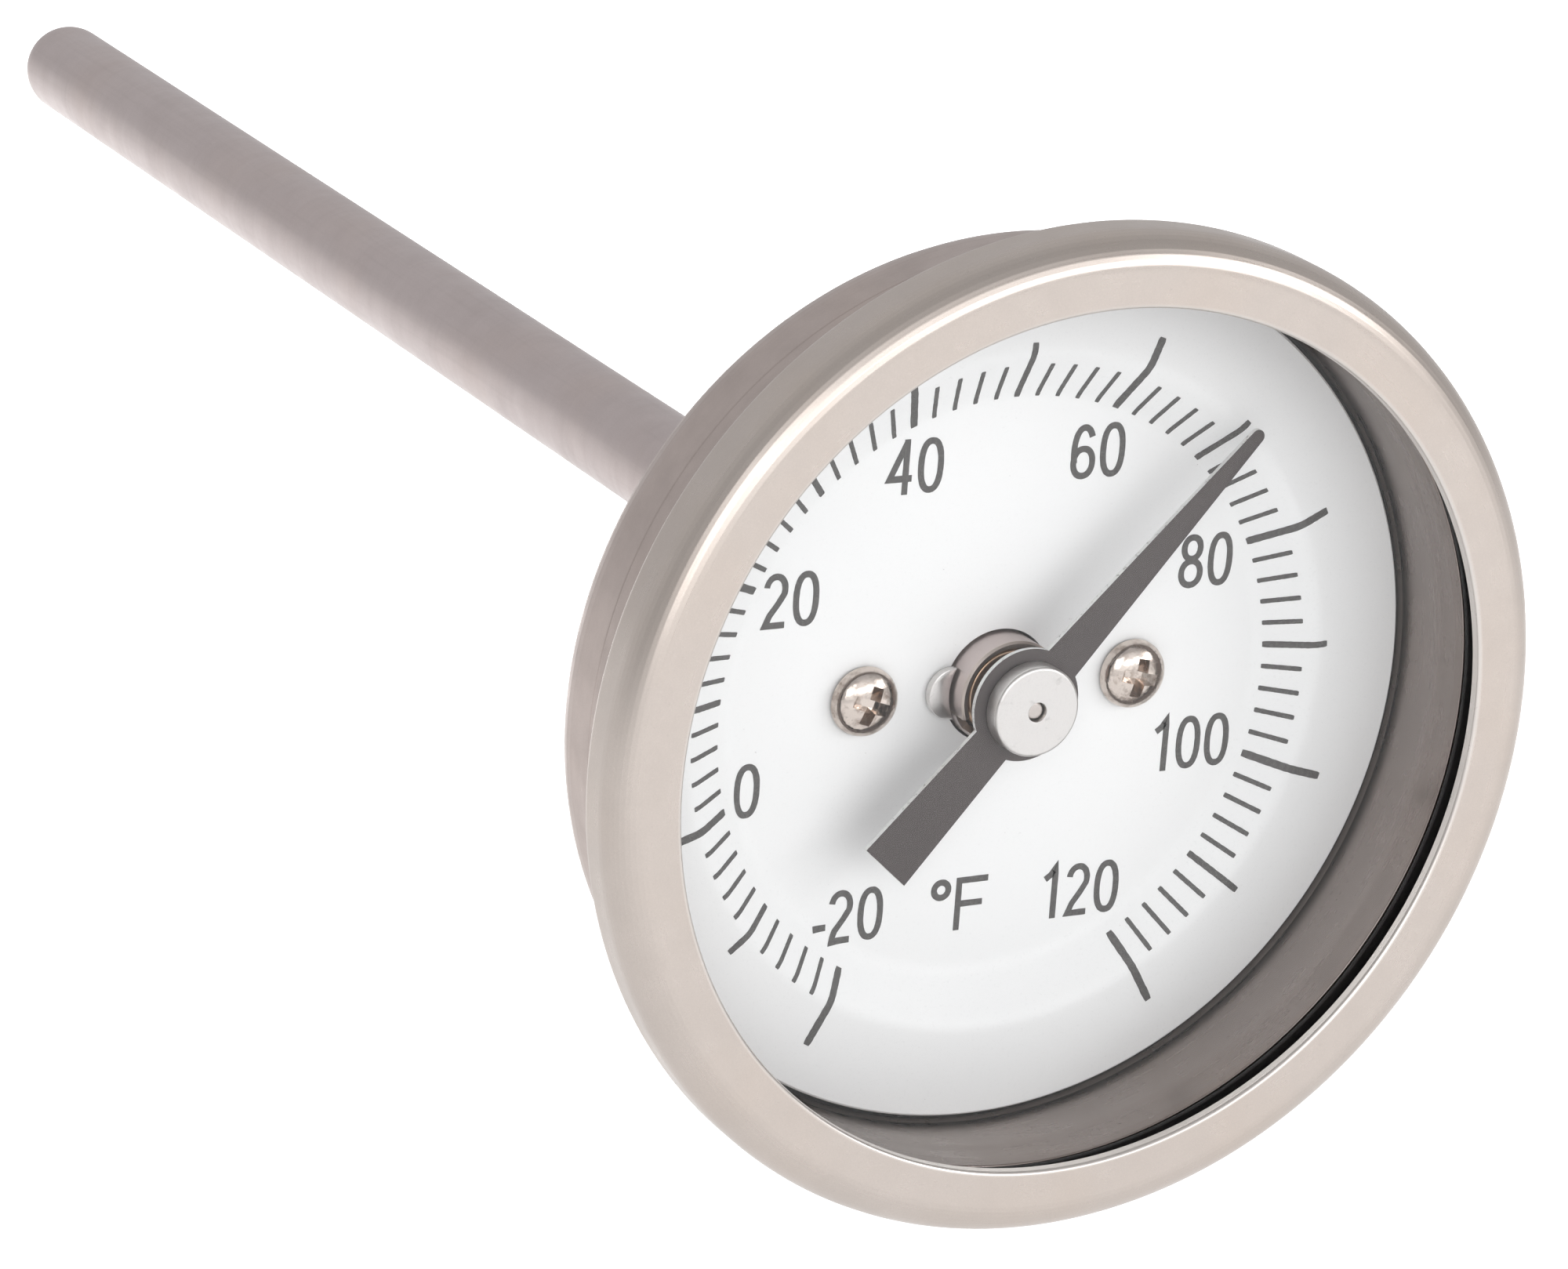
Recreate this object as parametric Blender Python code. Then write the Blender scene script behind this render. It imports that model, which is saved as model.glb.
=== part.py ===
"""Bimetal dial thermometer with a rear stem, built as separate mating pieces.

Frame: the stem's axis is the Y axis and +Y runs towards the stem's tip, so the
dial faces -Y.  +Z is the dial's 12 o'clock and +X its 3 o'clock.  The origin
lies on the axis at the rear face of the hexagon, where the thread starts.
Depths are measured backwards from the front face of the bezel.
"""
import math

import bmesh
import bpy
from mathutils import Matrix, Vector

MM = 0.001
GAP = 0.15                        # clearance between assembled pieces
RING_SIDES = 48                   # facets of the large round pieces
TUBE_SIDES = 32                   # facets of the stem and the fitting
SMALL_SIDES = 20                  # facets of screws, posts and the shaft

# Driving dimensions, in millimetres
BEZEL_RADIUS = 28.7
BEZEL_OPENING_RADIUS = 24.7
BEZEL_SHEET = 0.7
BEZEL_EDGE_RADIUS = 1.3
BEZEL_DEPTH = 3.9

LIP_RADIUS = 25.5                 # inside of the case mouth and of the gasket
FLANGE_RADIUS = 27.75
FLANGE_DEPTH = 2.9
CASE_SHEET = 0.5
CASE_DEPTH = 14.5
CASE_CORNER_RADIUS = 3.0
CASE_BEAD_DEPTH = 9.0

GLASS_THICKNESS = 1.0
DIAL_RADIUS = 25.06
DIAL_SHEET = 0.4
DIAL_CENTRE_DEPTH = 10.8
DIAL_RIM_DEPTH = 9.1
DIAL_RAMP_START = 16.8
DIAL_RAMP_END = 19.7
DIAL_BORE_RADIUS = 3.45

SCREW_SPACING = 17.0
SCREW_HEAD_RADIUS = 2.0
SCREW_HEAD_HEIGHT = 1.25
SCREW_SHANK_RADIUS = 0.9
SCREW_LENGTH = 2.4
POST_RADIUS = 1.9

STEM_RADIUS = 3.175
STEM_WALL = 0.4
STEM_FRONT_DEPTH = 8.95
STEM_TIP_DEPTH = 157.3
STEM_SLOT_WIDTH = 0.9
STEM_SLOT_DEPTH = 1.0
STEM_SLOT_CLOCK = 240.0           # degrees clockwise from 12 o'clock
EAR_RADIUS = 1.5
EAR_CENTRE = 3.1

HEX_ACROSS_FLATS = 15.9
HEX_FRONT_DEPTH = 15.8
HEX_REAR_DEPTH = 22.8             # the origin's depth
THREAD_RADIUS = 6.85
THREAD_LENGTH = 14.0
THREAD_TAPER = 1.0 / 32.0         # radius lost for each unit of length
SPIGOT_RADIUS = 4.8
SPIGOT_FRONT_DEPTH = 11.6
NUT_ACROSS_FLATS = 12.0
NUT_THICKNESS = 1.8
WASHER_THICKNESS = 1.0

SHAFT_RADIUS = 0.5
SHAFT_FRONT_DEPTH = 6.4
HELIX_FRONT_DEPTH = 104.0
HELIX_TURNS = 16
HELIX_PITCH = 2.8
HELIX_RADIUS = 2.3
HELIX_STRIP_WIDTH = 1.5
HELIX_STRIP_THICKNESS = 0.35
ANCHOR_LENGTH = 4.0

POINTER_DEPTH = 7.4
POINTER_SHEET = 0.3
POINTER_DISC_RADIUS = 3.28
POINTER_TIP_RADIUS = 20.1
POINTER_TIP_WIDTH = 0.74
POINTER_ARM_WIDTH = 2.5
POINTER_TAIL_RADIUS = 11.9
POINTER_TAIL_NECK = 2.75
POINTER_TAIL_WIDTH = 3.49
CAP_RADIUS = 2.62
CAP_FRONT_DEPTH = 6.12

DEGREES_PER_FAHRENHEIT = 300.0 / 140.0
TOP_OF_SCALE_READING = 50.0       # the reading at 12 o'clock
REST_READING = 70.0
POINTER_CLOCK = (REST_READING - TOP_OF_SCALE_READING) * DEGREES_PER_FAHRENHEIT


def clear_scene():
    for item in list(bpy.data.objects):
        bpy.data.objects.remove(item, do_unlink=True)


def make_material(name, color, roughness, metallic):
    material = bpy.data.materials.new(name)
    material.use_nodes = True
    shader = material.node_tree.nodes["Principled BSDF"]
    shader.inputs["Base Color"].default_value = (*color, 1.0)
    shader.inputs["Roughness"].default_value = roughness
    shader.inputs["Metallic"].default_value = metallic
    return material


def along(depth):
    """Y coordinate, in metres, of a depth behind the bezel's front face."""
    return (depth - HEX_REAR_DEPTH) * MM


def add_object(name, mesh_builder, material, parent=None):
    """Turn a bmesh into a named, smooth-shaded object."""
    bmesh.ops.recalc_face_normals(mesh_builder, faces=mesh_builder.faces)
    mesh = bpy.data.meshes.new(name)
    mesh_builder.to_mesh(mesh)
    mesh_builder.free()
    mesh.shade_smooth()
    mesh.set_sharp_from_angle(angle=math.radians(35.0))
    item = bpy.data.objects.new(name, mesh)
    bpy.context.scene.collection.objects.link(item)
    if material is not None:
        mesh.materials.append(material)
    item.parent = parent
    return item


def turned_mesh(profile, sides):
    """Spin (radius, depth) points about the stem's axis.

    A profile that starts and ends on the axis makes a plug.  Any other
    profile is closed on itself and makes a ring.
    """
    builder = bmesh.new()
    ring = [builder.verts.new((radius * MM, along(depth), 0.0)) for radius, depth in profile]
    edges = [builder.edges.new(pair) for pair in zip(ring, ring[1:])]
    is_plug = profile[0][0] == 0.0 and profile[-1][0] == 0.0
    if not is_plug:
        edges.append(builder.edges.new((ring[-1], ring[0])))
    bmesh.ops.spin(
        builder, geom=ring + edges, cent=(0.0, 0.0, 0.0), axis=(0.0, 1.0, 0.0),
        angle=math.tau, steps=sides)
    bmesh.ops.remove_doubles(builder, verts=builder.verts, dist=1e-6)
    return builder


def turned(name, profile, material, sides, offset_x=0.0, parent=None):
    item = add_object(name, turned_mesh(profile, sides), material, parent)
    item.location.x = offset_x * MM
    return item


def arc(centre_radius, centre_depth, radius, start, end, steps):
    """Profile points on a round; 0 degrees is outward and 90 is rearward."""
    points = []
    for step in range(steps + 1):
        angle = math.radians(start + (end - start) * step / steps)
        points.append((centre_radius + radius * math.cos(angle),
                       centre_depth + radius * math.sin(angle)))
    return points


def prism(name, outline, front_depth, rear_depth, material, parent=None):
    """Extrude an (x, z) outline in millimetres between two depths."""
    builder = bmesh.new()
    front = [builder.verts.new((x * MM, along(front_depth), z * MM)) for x, z in outline]
    face = builder.faces.new(front)
    result = bmesh.ops.extrude_face_region(builder, geom=[face])
    moved = [part for part in result["geom"] if isinstance(part, bmesh.types.BMVert)]
    shift = Vector((0.0, (rear_depth - front_depth) * MM, 0.0))
    bmesh.ops.translate(builder, verts=moved, vec=shift)
    return add_object(name, builder, material, parent)


def hexagon(across_flats):
    """Hexagon outline with two of its flats facing left and right."""
    corner = across_flats / 2.0 / math.cos(math.radians(30.0))
    angles = [math.radians(30.0 + 60.0 * index) for index in range(6)]
    return [(corner * math.cos(angle), corner * math.sin(angle)) for angle in angles]


def circle(centre_x, centre_z, radius, sides):
    angles = [math.tau * index / sides for index in range(sides)]
    return [(centre_x + radius * math.cos(angle), centre_z + radius * math.sin(angle))
            for angle in angles]


def boolean(item, operation, cutter):
    cutter.hide_render = True
    cutter.display_type = "WIRE"
    modifier = item.modifiers.new(operation.lower(), "BOOLEAN")
    modifier.operation = operation
    modifier.solver = "EXACT"
    modifier.object = cutter


def clock_direction(clock):
    """Unit (x, z) pointing to a clock angle on the dial."""
    angle = math.radians(clock)
    return math.sin(angle), math.cos(angle)


# Head: bezel, glass, gasket and case

def build_bezel(material):
    """Channel that wraps the glass, the gasket and the case's flange."""
    inner = BEZEL_RADIUS - BEZEL_SHEET
    edge_centre = BEZEL_RADIUS - BEZEL_EDGE_RADIUS
    crimp_radius = 0.6
    crimp_lip = 26.7
    crimp_sheet = 0.45
    profile = [(BEZEL_OPENING_RADIUS, 0.3), (BEZEL_OPENING_RADIUS + 0.3, 0.0)]
    profile += arc(edge_centre, BEZEL_EDGE_RADIUS, BEZEL_EDGE_RADIUS, -90.0, 0.0, 5)
    profile += arc(BEZEL_RADIUS - crimp_radius, BEZEL_DEPTH - crimp_radius, crimp_radius,
                   0.0, 90.0, 3)
    profile += [(crimp_lip, BEZEL_DEPTH), (crimp_lip, BEZEL_DEPTH - crimp_sheet),
                (inner, BEZEL_DEPTH - crimp_sheet), (inner, BEZEL_EDGE_RADIUS),
                (inner - 0.6, BEZEL_SHEET), (BEZEL_OPENING_RADIUS, BEZEL_SHEET)]
    return turned("bezel_ring", profile, material, RING_SIDES)


def build_gasket_and_glass(rubber, glass):
    """Rubber channel with the flat glass in its groove."""
    front = BEZEL_SHEET + GAP
    rear = FLANGE_DEPTH - GAP
    lip = (rear - front - GLASS_THICKNESS - 2.0 * GAP) / 2.0
    groove = FLANGE_RADIUS - 0.65
    glass_front = front + lip + GAP
    gasket_profile = [
        (LIP_RADIUS, front), (FLANGE_RADIUS - 0.5, front), (FLANGE_RADIUS, front + 0.5),
        (FLANGE_RADIUS, rear), (LIP_RADIUS, rear), (LIP_RADIUS, rear - lip),
        (groove, rear - lip), (groove, front + lip), (LIP_RADIUS, front + lip)]
    turned("lens_gasket", gasket_profile, rubber, RING_SIDES)
    glass_radius = groove - GAP
    bevel = 0.15
    glass_profile = [
        (0.0, glass_front), (glass_radius - bevel, glass_front),
        (glass_radius, glass_front + bevel),
        (glass_radius, glass_front + GLASS_THICKNESS - bevel),
        (glass_radius - bevel, glass_front + GLASS_THICKNESS),
        (0.0, glass_front + GLASS_THICKNESS)]
    turned("glass_lens", glass_profile, glass, RING_SIDES)


def build_case(material):
    """Drawn cup with a front flange, a fine step in its wall and a rear bore."""
    outer = LIP_RADIUS + CASE_SHEET
    step = 0.15
    back_inside = CASE_DEPTH - CASE_SHEET
    flange_rear = FLANGE_DEPTH + 0.4
    bore = SPIGOT_RADIUS + GAP
    corner_centre = outer - step - CASE_CORNER_RADIUS
    profile = [(LIP_RADIUS, FLANGE_DEPTH), (FLANGE_RADIUS, FLANGE_DEPTH),
               (FLANGE_RADIUS, flange_rear), (outer, flange_rear),
               (outer, CASE_BEAD_DEPTH), (outer - step, CASE_BEAD_DEPTH + 0.3)]
    profile += arc(corner_centre, CASE_DEPTH - CASE_CORNER_RADIUS, CASE_CORNER_RADIUS,
                   0.0, 90.0, 5)
    profile += [(bore, CASE_DEPTH), (bore, back_inside)]
    profile += arc(corner_centre, CASE_DEPTH - CASE_CORNER_RADIUS,
                   CASE_CORNER_RADIUS - CASE_SHEET, 90.0, 0.0, 4)
    profile += [(LIP_RADIUS - step, CASE_BEAD_DEPTH + 0.5)]
    return turned("case_shell", profile, material, RING_SIDES)


# Dial and its fasteners

def build_dial(material):
    """Dished plate: flat centre, raised rim, two screw holes and a bore."""
    profile = [
        (DIAL_BORE_RADIUS, DIAL_CENTRE_DEPTH), (DIAL_RAMP_START, DIAL_CENTRE_DEPTH),
        (DIAL_RAMP_END, DIAL_RIM_DEPTH), (DIAL_RADIUS, DIAL_RIM_DEPTH),
        (DIAL_RADIUS, DIAL_RIM_DEPTH + DIAL_SHEET),
        (DIAL_RAMP_END, DIAL_RIM_DEPTH + DIAL_SHEET),
        (DIAL_RAMP_START, DIAL_CENTRE_DEPTH + DIAL_SHEET),
        (DIAL_BORE_RADIUS, DIAL_CENTRE_DEPTH + DIAL_SHEET)]
    dial = turned("dial_plate", profile, material, RING_SIDES)
    for side in (-1.0, 1.0):
        outline = circle(side * SCREW_SPACING / 2.0, 0.0, SCREW_SHANK_RADIUS + GAP, SMALL_SIDES)
        cutter = prism("dial_hole_cutter", outline, DIAL_CENTRE_DEPTH - 1.0,
                       DIAL_CENTRE_DEPTH + 2.0, None)
        boolean(dial, "DIFFERENCE", cutter)


def build_screw(name, offset_x, material):
    """Domed cross-recess screw that clamps the dial to its post."""
    seat = DIAL_CENTRE_DEPTH - GAP
    top = seat - SCREW_HEAD_HEIGHT
    profile = [
        (0.0, top), (0.45 * SCREW_HEAD_RADIUS, top + 0.1), (0.75 * SCREW_HEAD_RADIUS, top + 0.35),
        (0.95 * SCREW_HEAD_RADIUS, top + 0.75), (SCREW_HEAD_RADIUS, seat - 0.25),
        (SCREW_HEAD_RADIUS, seat), (SCREW_SHANK_RADIUS, seat),
        (SCREW_SHANK_RADIUS, seat + SCREW_LENGTH - 0.2),
        (SCREW_SHANK_RADIUS - 0.2, seat + SCREW_LENGTH), (0.0, seat + SCREW_LENGTH)]
    screw = turned(name, profile, material, SMALL_SIDES, offset_x)
    arm, half_width = 1.05, 0.3
    for length_x, length_z in ((arm, half_width), (half_width, arm)):
        outline = [(offset_x - length_x, -length_z), (offset_x + length_x, -length_z),
                   (offset_x + length_x, length_z), (offset_x - length_x, length_z)]
        cutter = prism(name + "_recess_cutter", outline, top - 0.5, top + 0.8, None)
        boolean(screw, "DIFFERENCE", cutter)


def build_post(name, offset_x, material):
    """Pillar on the case's back with a blind hole for the dial screw."""
    front = DIAL_CENTRE_DEPTH + DIAL_SHEET + GAP
    rear = CASE_DEPTH - CASE_SHEET - GAP
    hole_radius = SCREW_SHANK_RADIUS + GAP
    hole_floor = rear - 0.4
    profile = [(0.0, hole_floor), (hole_radius, hole_floor), (hole_radius, front),
               (POST_RADIUS, front), (POST_RADIUS, rear), (0.0, rear)]
    turned(name, profile, material, SMALL_SIDES, offset_x)


# Connection: threaded fitting, washers and nut

def cut_to_hexagon(item, across_flats, front_depth, rear_depth):
    cutter = prism(item.name + "_hex_cutter", hexagon(across_flats), front_depth - 5.0,
                   rear_depth + 5.0, None)
    boolean(item, "INTERSECT", cutter)


def build_fitting(material):
    """Spigot through the case, wrench hexagon and tapered thread, bored for the stem."""
    corner = HEX_ACROSS_FLATS / 2.0 / math.cos(math.radians(30.0))
    bore = STEM_RADIUS + GAP
    thread_end = HEX_REAR_DEPTH + THREAD_LENGTH
    small_radius = THREAD_RADIUS - THREAD_LENGTH * THREAD_TAPER
    chamfer = 0.7
    profile = [
        (bore, SPIGOT_FRONT_DEPTH), (SPIGOT_RADIUS - 0.3, SPIGOT_FRONT_DEPTH),
        (SPIGOT_RADIUS, SPIGOT_FRONT_DEPTH + 0.3), (SPIGOT_RADIUS, HEX_FRONT_DEPTH),
        (corner - chamfer, HEX_FRONT_DEPTH), (corner, HEX_FRONT_DEPTH + chamfer / 2.0),
        (corner, HEX_REAR_DEPTH - chamfer / 2.0), (corner - chamfer, HEX_REAR_DEPTH),
        (THREAD_RADIUS, HEX_REAR_DEPTH), (small_radius, thread_end - 0.8),
        (small_radius - 0.8, thread_end), (bore, thread_end)]
    fitting = turned("threaded_fitting", profile, material, TUBE_SIDES)
    cut_to_hexagon(fitting, HEX_ACROSS_FLATS, SPIGOT_FRONT_DEPTH, thread_end)


def washer_profile(inner, outer, front, thickness):
    return [(inner, front), (outer, front), (outer, front + thickness), (inner, front + thickness)]


def build_washers_and_nut(seal_material, steel):
    """Seal under the hexagon outside, spring washer and nut inside the case."""
    bore = SPIGOT_RADIUS + GAP
    seal_front = CASE_DEPTH + GAP
    turned("case_seal", washer_profile(bore, 7.9, seal_front, WASHER_THICKNESS), seal_material,
           TUBE_SIDES)
    washer_thickness = 0.4
    washer_front = CASE_DEPTH - CASE_SHEET - GAP - washer_thickness
    turned("spring_washer", washer_profile(bore, 5.9, washer_front, washer_thickness), steel,
           TUBE_SIDES)
    nut_rear = washer_front - GAP
    nut_front = nut_rear - NUT_THICKNESS
    corner = NUT_ACROSS_FLATS / 2.0 / math.cos(math.radians(30.0))
    chamfer = 0.5
    profile = [(bore, nut_front), (corner - chamfer, nut_front),
               (corner, nut_front + chamfer / 2.0), (corner, nut_rear), (bore, nut_rear)]
    nut = turned("case_nut", profile, steel, TUBE_SIDES)
    cut_to_hexagon(nut, NUT_ACROSS_FLATS, nut_front, nut_rear)


# Stem and the bimetal movement

def build_stem(material):
    """Thin tube with a domed tip; its slotted front end shows through the dial."""
    bore = STEM_RADIUS - STEM_WALL
    dome_centre = STEM_TIP_DEPTH - STEM_RADIUS
    profile = [(0.0, STEM_TIP_DEPTH - STEM_WALL)]
    profile += arc(0.0, dome_centre, bore, 75.0, 0.0, 4)
    profile += [(bore, STEM_FRONT_DEPTH), (STEM_RADIUS - 0.15, STEM_FRONT_DEPTH),
                (STEM_RADIUS, STEM_FRONT_DEPTH + 0.15)]
    profile += arc(0.0, dome_centre, STEM_RADIUS, 0.0, 75.0, 4)
    profile += [(0.0, STEM_TIP_DEPTH)]
    stem = turned("stem_tube", profile, material, TUBE_SIDES)
    along_x, along_z = clock_direction(STEM_SLOT_CLOCK)
    half_length, half_width = 4.0, STEM_SLOT_WIDTH / 2.0
    corners = ((-1, -1), (1, -1), (1, 1), (-1, 1))
    outline = [(end * half_length * along_x - side * half_width * along_z,
                end * half_length * along_z + side * half_width * along_x)
               for end, side in corners]
    cutter = prism("stem_slot_cutter", outline, STEM_FRONT_DEPTH - 1.0,
                   STEM_FRONT_DEPTH + STEM_SLOT_DEPTH, None)
    boolean(stem, "DIFFERENCE", cutter)


def build_ear(material):
    """Half-round ear beside the tube that keys it to the dial."""
    outline = [(-EAR_CENTRE, -EAR_RADIUS)]
    for step in range(7):
        angle = math.radians(270.0 - 180.0 * step / 6.0)
        outline.append((-EAR_CENTRE + EAR_RADIUS * math.cos(angle),
                        EAR_RADIUS * math.sin(angle)))
    thickness = 0.5
    rear = DIAL_CENTRE_DEPTH - GAP
    ear = prism("stem_ear", outline[1:], rear - thickness, rear, material)
    clearance = circle(0.0, 0.0, STEM_RADIUS + GAP, TUBE_SIDES)
    cutter = prism("ear_cutter", clearance, rear - 2.0, rear + 1.0, None)
    boolean(ear, "DIFFERENCE", cutter)


def build_bushing(name, front, rear, material):
    """Bearing bush inside the stem that guides the shaft."""
    outer = STEM_RADIUS - STEM_WALL - GAP
    bore = SHAFT_RADIUS + 0.1
    profile = [(bore, front), (outer - 0.2, front), (outer, front + 0.2), (outer, rear), (bore, rear)]
    turned(name, profile, material, SMALL_SIDES)


def build_helix(material):
    """Bimetal strip wound edgewise round the axis."""
    steps_per_turn = 12
    steps = HELIX_TURNS * steps_per_turn
    inner = HELIX_RADIUS - HELIX_STRIP_THICKNESS
    builder = bmesh.new()
    sections = []
    for step in range(steps + 1):
        angle = math.tau * step / steps_per_turn
        front = HELIX_FRONT_DEPTH + HELIX_PITCH * step / steps_per_turn
        rear = front + HELIX_STRIP_WIDTH
        corners = ((inner, front), (HELIX_RADIUS, front), (HELIX_RADIUS, rear), (inner, rear))
        sections.append([
            builder.verts.new((radius * MM * math.cos(angle), along(depth),
                               radius * MM * math.sin(angle)))
            for radius, depth in corners])
    for first, second in zip(sections, sections[1:]):
        for index in range(4):
            following = (index + 1) % 4
            builder.faces.new((first[index], first[following], second[following], second[index]))
    builder.faces.new(sections[0])
    builder.faces.new(sections[-1])
    add_object("bimetal_helix", builder, material)


def build_anchor(material):
    """Plug at the tip that holds the helix's far end still."""
    front = HELIX_FRONT_DEPTH + HELIX_TURNS * HELIX_PITCH + HELIX_STRIP_WIDTH + GAP
    outer = STEM_RADIUS - STEM_WALL - GAP
    profile = [(0.0, front), (outer, front), (outer, front + ANCHOR_LENGTH - 0.4),
               (outer - 0.4, front + ANCHOR_LENGTH), (0.0, front + ANCHOR_LENGTH)]
    turned("helix_anchor", profile, material, SMALL_SIDES)


# Pointer group, turning about the stem's axis

def build_pointer_blade(material, parent):
    """Tapered arm, round disc and counterweight tail, bored for the shaft."""
    disc_arm = math.degrees(math.asin(POINTER_ARM_WIDTH / 2.0 / POINTER_DISC_RADIUS))
    disc_tail = math.degrees(math.asin(POINTER_TAIL_NECK / 2.0 / POINTER_DISC_RADIUS))
    steps = 8
    right = []
    for step in range(steps + 1):
        clock = disc_arm + (180.0 - disc_tail - disc_arm) * step / steps
        x, z = clock_direction(clock)
        right.append((POINTER_DISC_RADIUS * x, POINTER_DISC_RADIUS * z))
    right.insert(0, (POINTER_TIP_WIDTH / 2.0, POINTER_TIP_RADIUS))
    right.append((POINTER_TAIL_WIDTH / 2.0, -POINTER_TAIL_RADIUS))
    left = [(-x, z) for x, z in reversed(right)]
    blade = prism("pointer_blade", right + left, POINTER_DEPTH, POINTER_DEPTH + POINTER_SHEET,
                  material, parent)
    bore = circle(0.0, 0.0, SHAFT_RADIUS + GAP, SMALL_SIDES)
    cutter = prism("pointer_bore_cutter", bore, POINTER_DEPTH - 1.0, POINTER_DEPTH + 1.0, None)
    boolean(blade, "DIFFERENCE", cutter)


def build_pointer_group(paint, aluminium, steel, brass):
    """All pieces on the pointer's axis hang from one empty that sets the reading."""
    axis = bpy.data.objects.new("pointer_axis", None)
    bpy.context.scene.collection.objects.link(axis)
    axis.rotation_euler = Matrix.Rotation(math.radians(POINTER_CLOCK), 3, "Y").to_euler()
    build_pointer_blade(paint, axis)

    bore = SHAFT_RADIUS + 0.1
    cap_rear = POINTER_DEPTH - GAP
    cap_profile = [(bore, CAP_FRONT_DEPTH), (CAP_RADIUS - 0.3, CAP_FRONT_DEPTH),
                   (CAP_RADIUS - 0.09, CAP_FRONT_DEPTH + 0.09),
                   (CAP_RADIUS, CAP_FRONT_DEPTH + 0.3), (CAP_RADIUS, cap_rear), (bore, cap_rear)]
    turned("pointer_cap", cap_profile, aluminium, TUBE_SIDES, parent=axis)

    hub_front = POINTER_DEPTH + POINTER_SHEET + GAP
    hub_profile = washer_profile(bore, 1.5, hub_front, 0.75)
    turned("pointer_hub", hub_profile, brass, SMALL_SIDES, parent=axis)

    shaft_rear = HELIX_FRONT_DEPTH - GAP
    shaft_profile = [(0.0, SHAFT_FRONT_DEPTH), (SHAFT_RADIUS, SHAFT_FRONT_DEPTH),
                     (SHAFT_RADIUS, shaft_rear), (0.0, shaft_rear)]
    turned("pointer_shaft", shaft_profile, steel, SMALL_SIDES, parent=axis)

    collar_length = 2.5
    collar_front = shaft_rear - collar_length
    turned("helix_collar", washer_profile(bore, 2.2, collar_front, collar_length), brass,
           SMALL_SIDES, parent=axis)


def main():
    clear_scene()
    bezel_steel = make_material("bezel_steel", (0.72, 0.68, 0.64), 0.32, 1.0)
    case_steel = make_material("case_steel", (0.52, 0.47, 0.44), 0.35, 1.0)
    stem_steel = make_material("stem_steel", (0.58, 0.55, 0.53), 0.4, 1.0)
    rubber = make_material("black_rubber", (0.02, 0.02, 0.02), 0.6, 0.0)
    glass = make_material("clear_glass", (0.95, 0.97, 0.97), 0.02, 0.0)
    dial_paint = make_material("white_enamel", (0.85, 0.86, 0.86), 0.35, 0.0)
    pointer_paint = make_material("pointer_paint", (0.13, 0.12, 0.12), 0.55, 0.0)
    aluminium = make_material("turned_aluminium", (0.8, 0.78, 0.76), 0.4, 1.0)
    screw_plate = make_material("nickel_plate", (0.68, 0.63, 0.58), 0.15, 1.0)
    brass = make_material("bright_brass", (0.72, 0.55, 0.36), 0.3, 1.0)
    seal = make_material("fibre_seal", (0.75, 0.74, 0.7), 0.6, 0.0)
    bimetal = make_material("bimetal_strip", (0.5, 0.46, 0.42), 0.4, 1.0)

    build_bezel(bezel_steel)
    build_gasket_and_glass(rubber, glass)
    build_case(case_steel)
    build_dial(dial_paint)
    for side, offset_x in (("left", -SCREW_SPACING / 2.0), ("right", SCREW_SPACING / 2.0)):
        build_screw("dial_screw_" + side, offset_x, screw_plate)
        build_post("dial_post_" + side, offset_x, brass)
    build_fitting(stem_steel)
    build_washers_and_nut(seal, stem_steel)
    build_stem(stem_steel)
    build_ear(stem_steel)
    build_bushing("front_bushing", STEM_FRONT_DEPTH + 0.25, STEM_FRONT_DEPTH + 5.0, brass)
    build_bushing("rear_bushing", HELIX_FRONT_DEPTH - 8.0, HELIX_FRONT_DEPTH - 5.0, brass)
    build_helix(bimetal)
    build_anchor(brass)
    build_pointer_group(pointer_paint, aluminium, stem_steel, brass)


main()
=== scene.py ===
"""Finished look of a bimetal dial thermometer with a rear stem.

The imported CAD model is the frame.  Turned, printed and threaded pieces are
remade at full smoothness round the same axis, and every piece gets its own
procedural finish.  Lengths are in millimetres until they reach a mesh.
"""

import math
import random

import bmesh
import bpy
from mathutils import Matrix, Vector


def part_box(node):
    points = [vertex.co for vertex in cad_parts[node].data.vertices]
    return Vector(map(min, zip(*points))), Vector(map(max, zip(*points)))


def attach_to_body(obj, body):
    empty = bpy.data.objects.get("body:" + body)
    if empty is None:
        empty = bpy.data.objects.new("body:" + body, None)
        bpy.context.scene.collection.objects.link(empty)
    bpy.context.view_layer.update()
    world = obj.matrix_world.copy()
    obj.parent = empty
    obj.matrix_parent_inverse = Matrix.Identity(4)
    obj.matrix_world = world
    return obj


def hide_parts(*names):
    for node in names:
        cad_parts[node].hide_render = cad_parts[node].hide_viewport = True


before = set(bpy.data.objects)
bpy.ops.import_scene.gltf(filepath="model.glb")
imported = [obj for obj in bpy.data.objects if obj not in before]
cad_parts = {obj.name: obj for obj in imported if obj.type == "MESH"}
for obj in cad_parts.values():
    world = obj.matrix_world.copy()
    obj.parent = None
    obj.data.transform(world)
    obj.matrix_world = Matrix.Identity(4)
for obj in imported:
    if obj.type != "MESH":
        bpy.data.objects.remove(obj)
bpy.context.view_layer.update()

MM = 0.001
HEAD_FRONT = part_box("bezel_ring")[0].y          # depth 0, the bezel's front face
GAP = 0.15                                      # clearance between pieces
HEAD_SIDES = 256
STEM_SIDES = 96
SMALL_SIDES = 64

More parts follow.
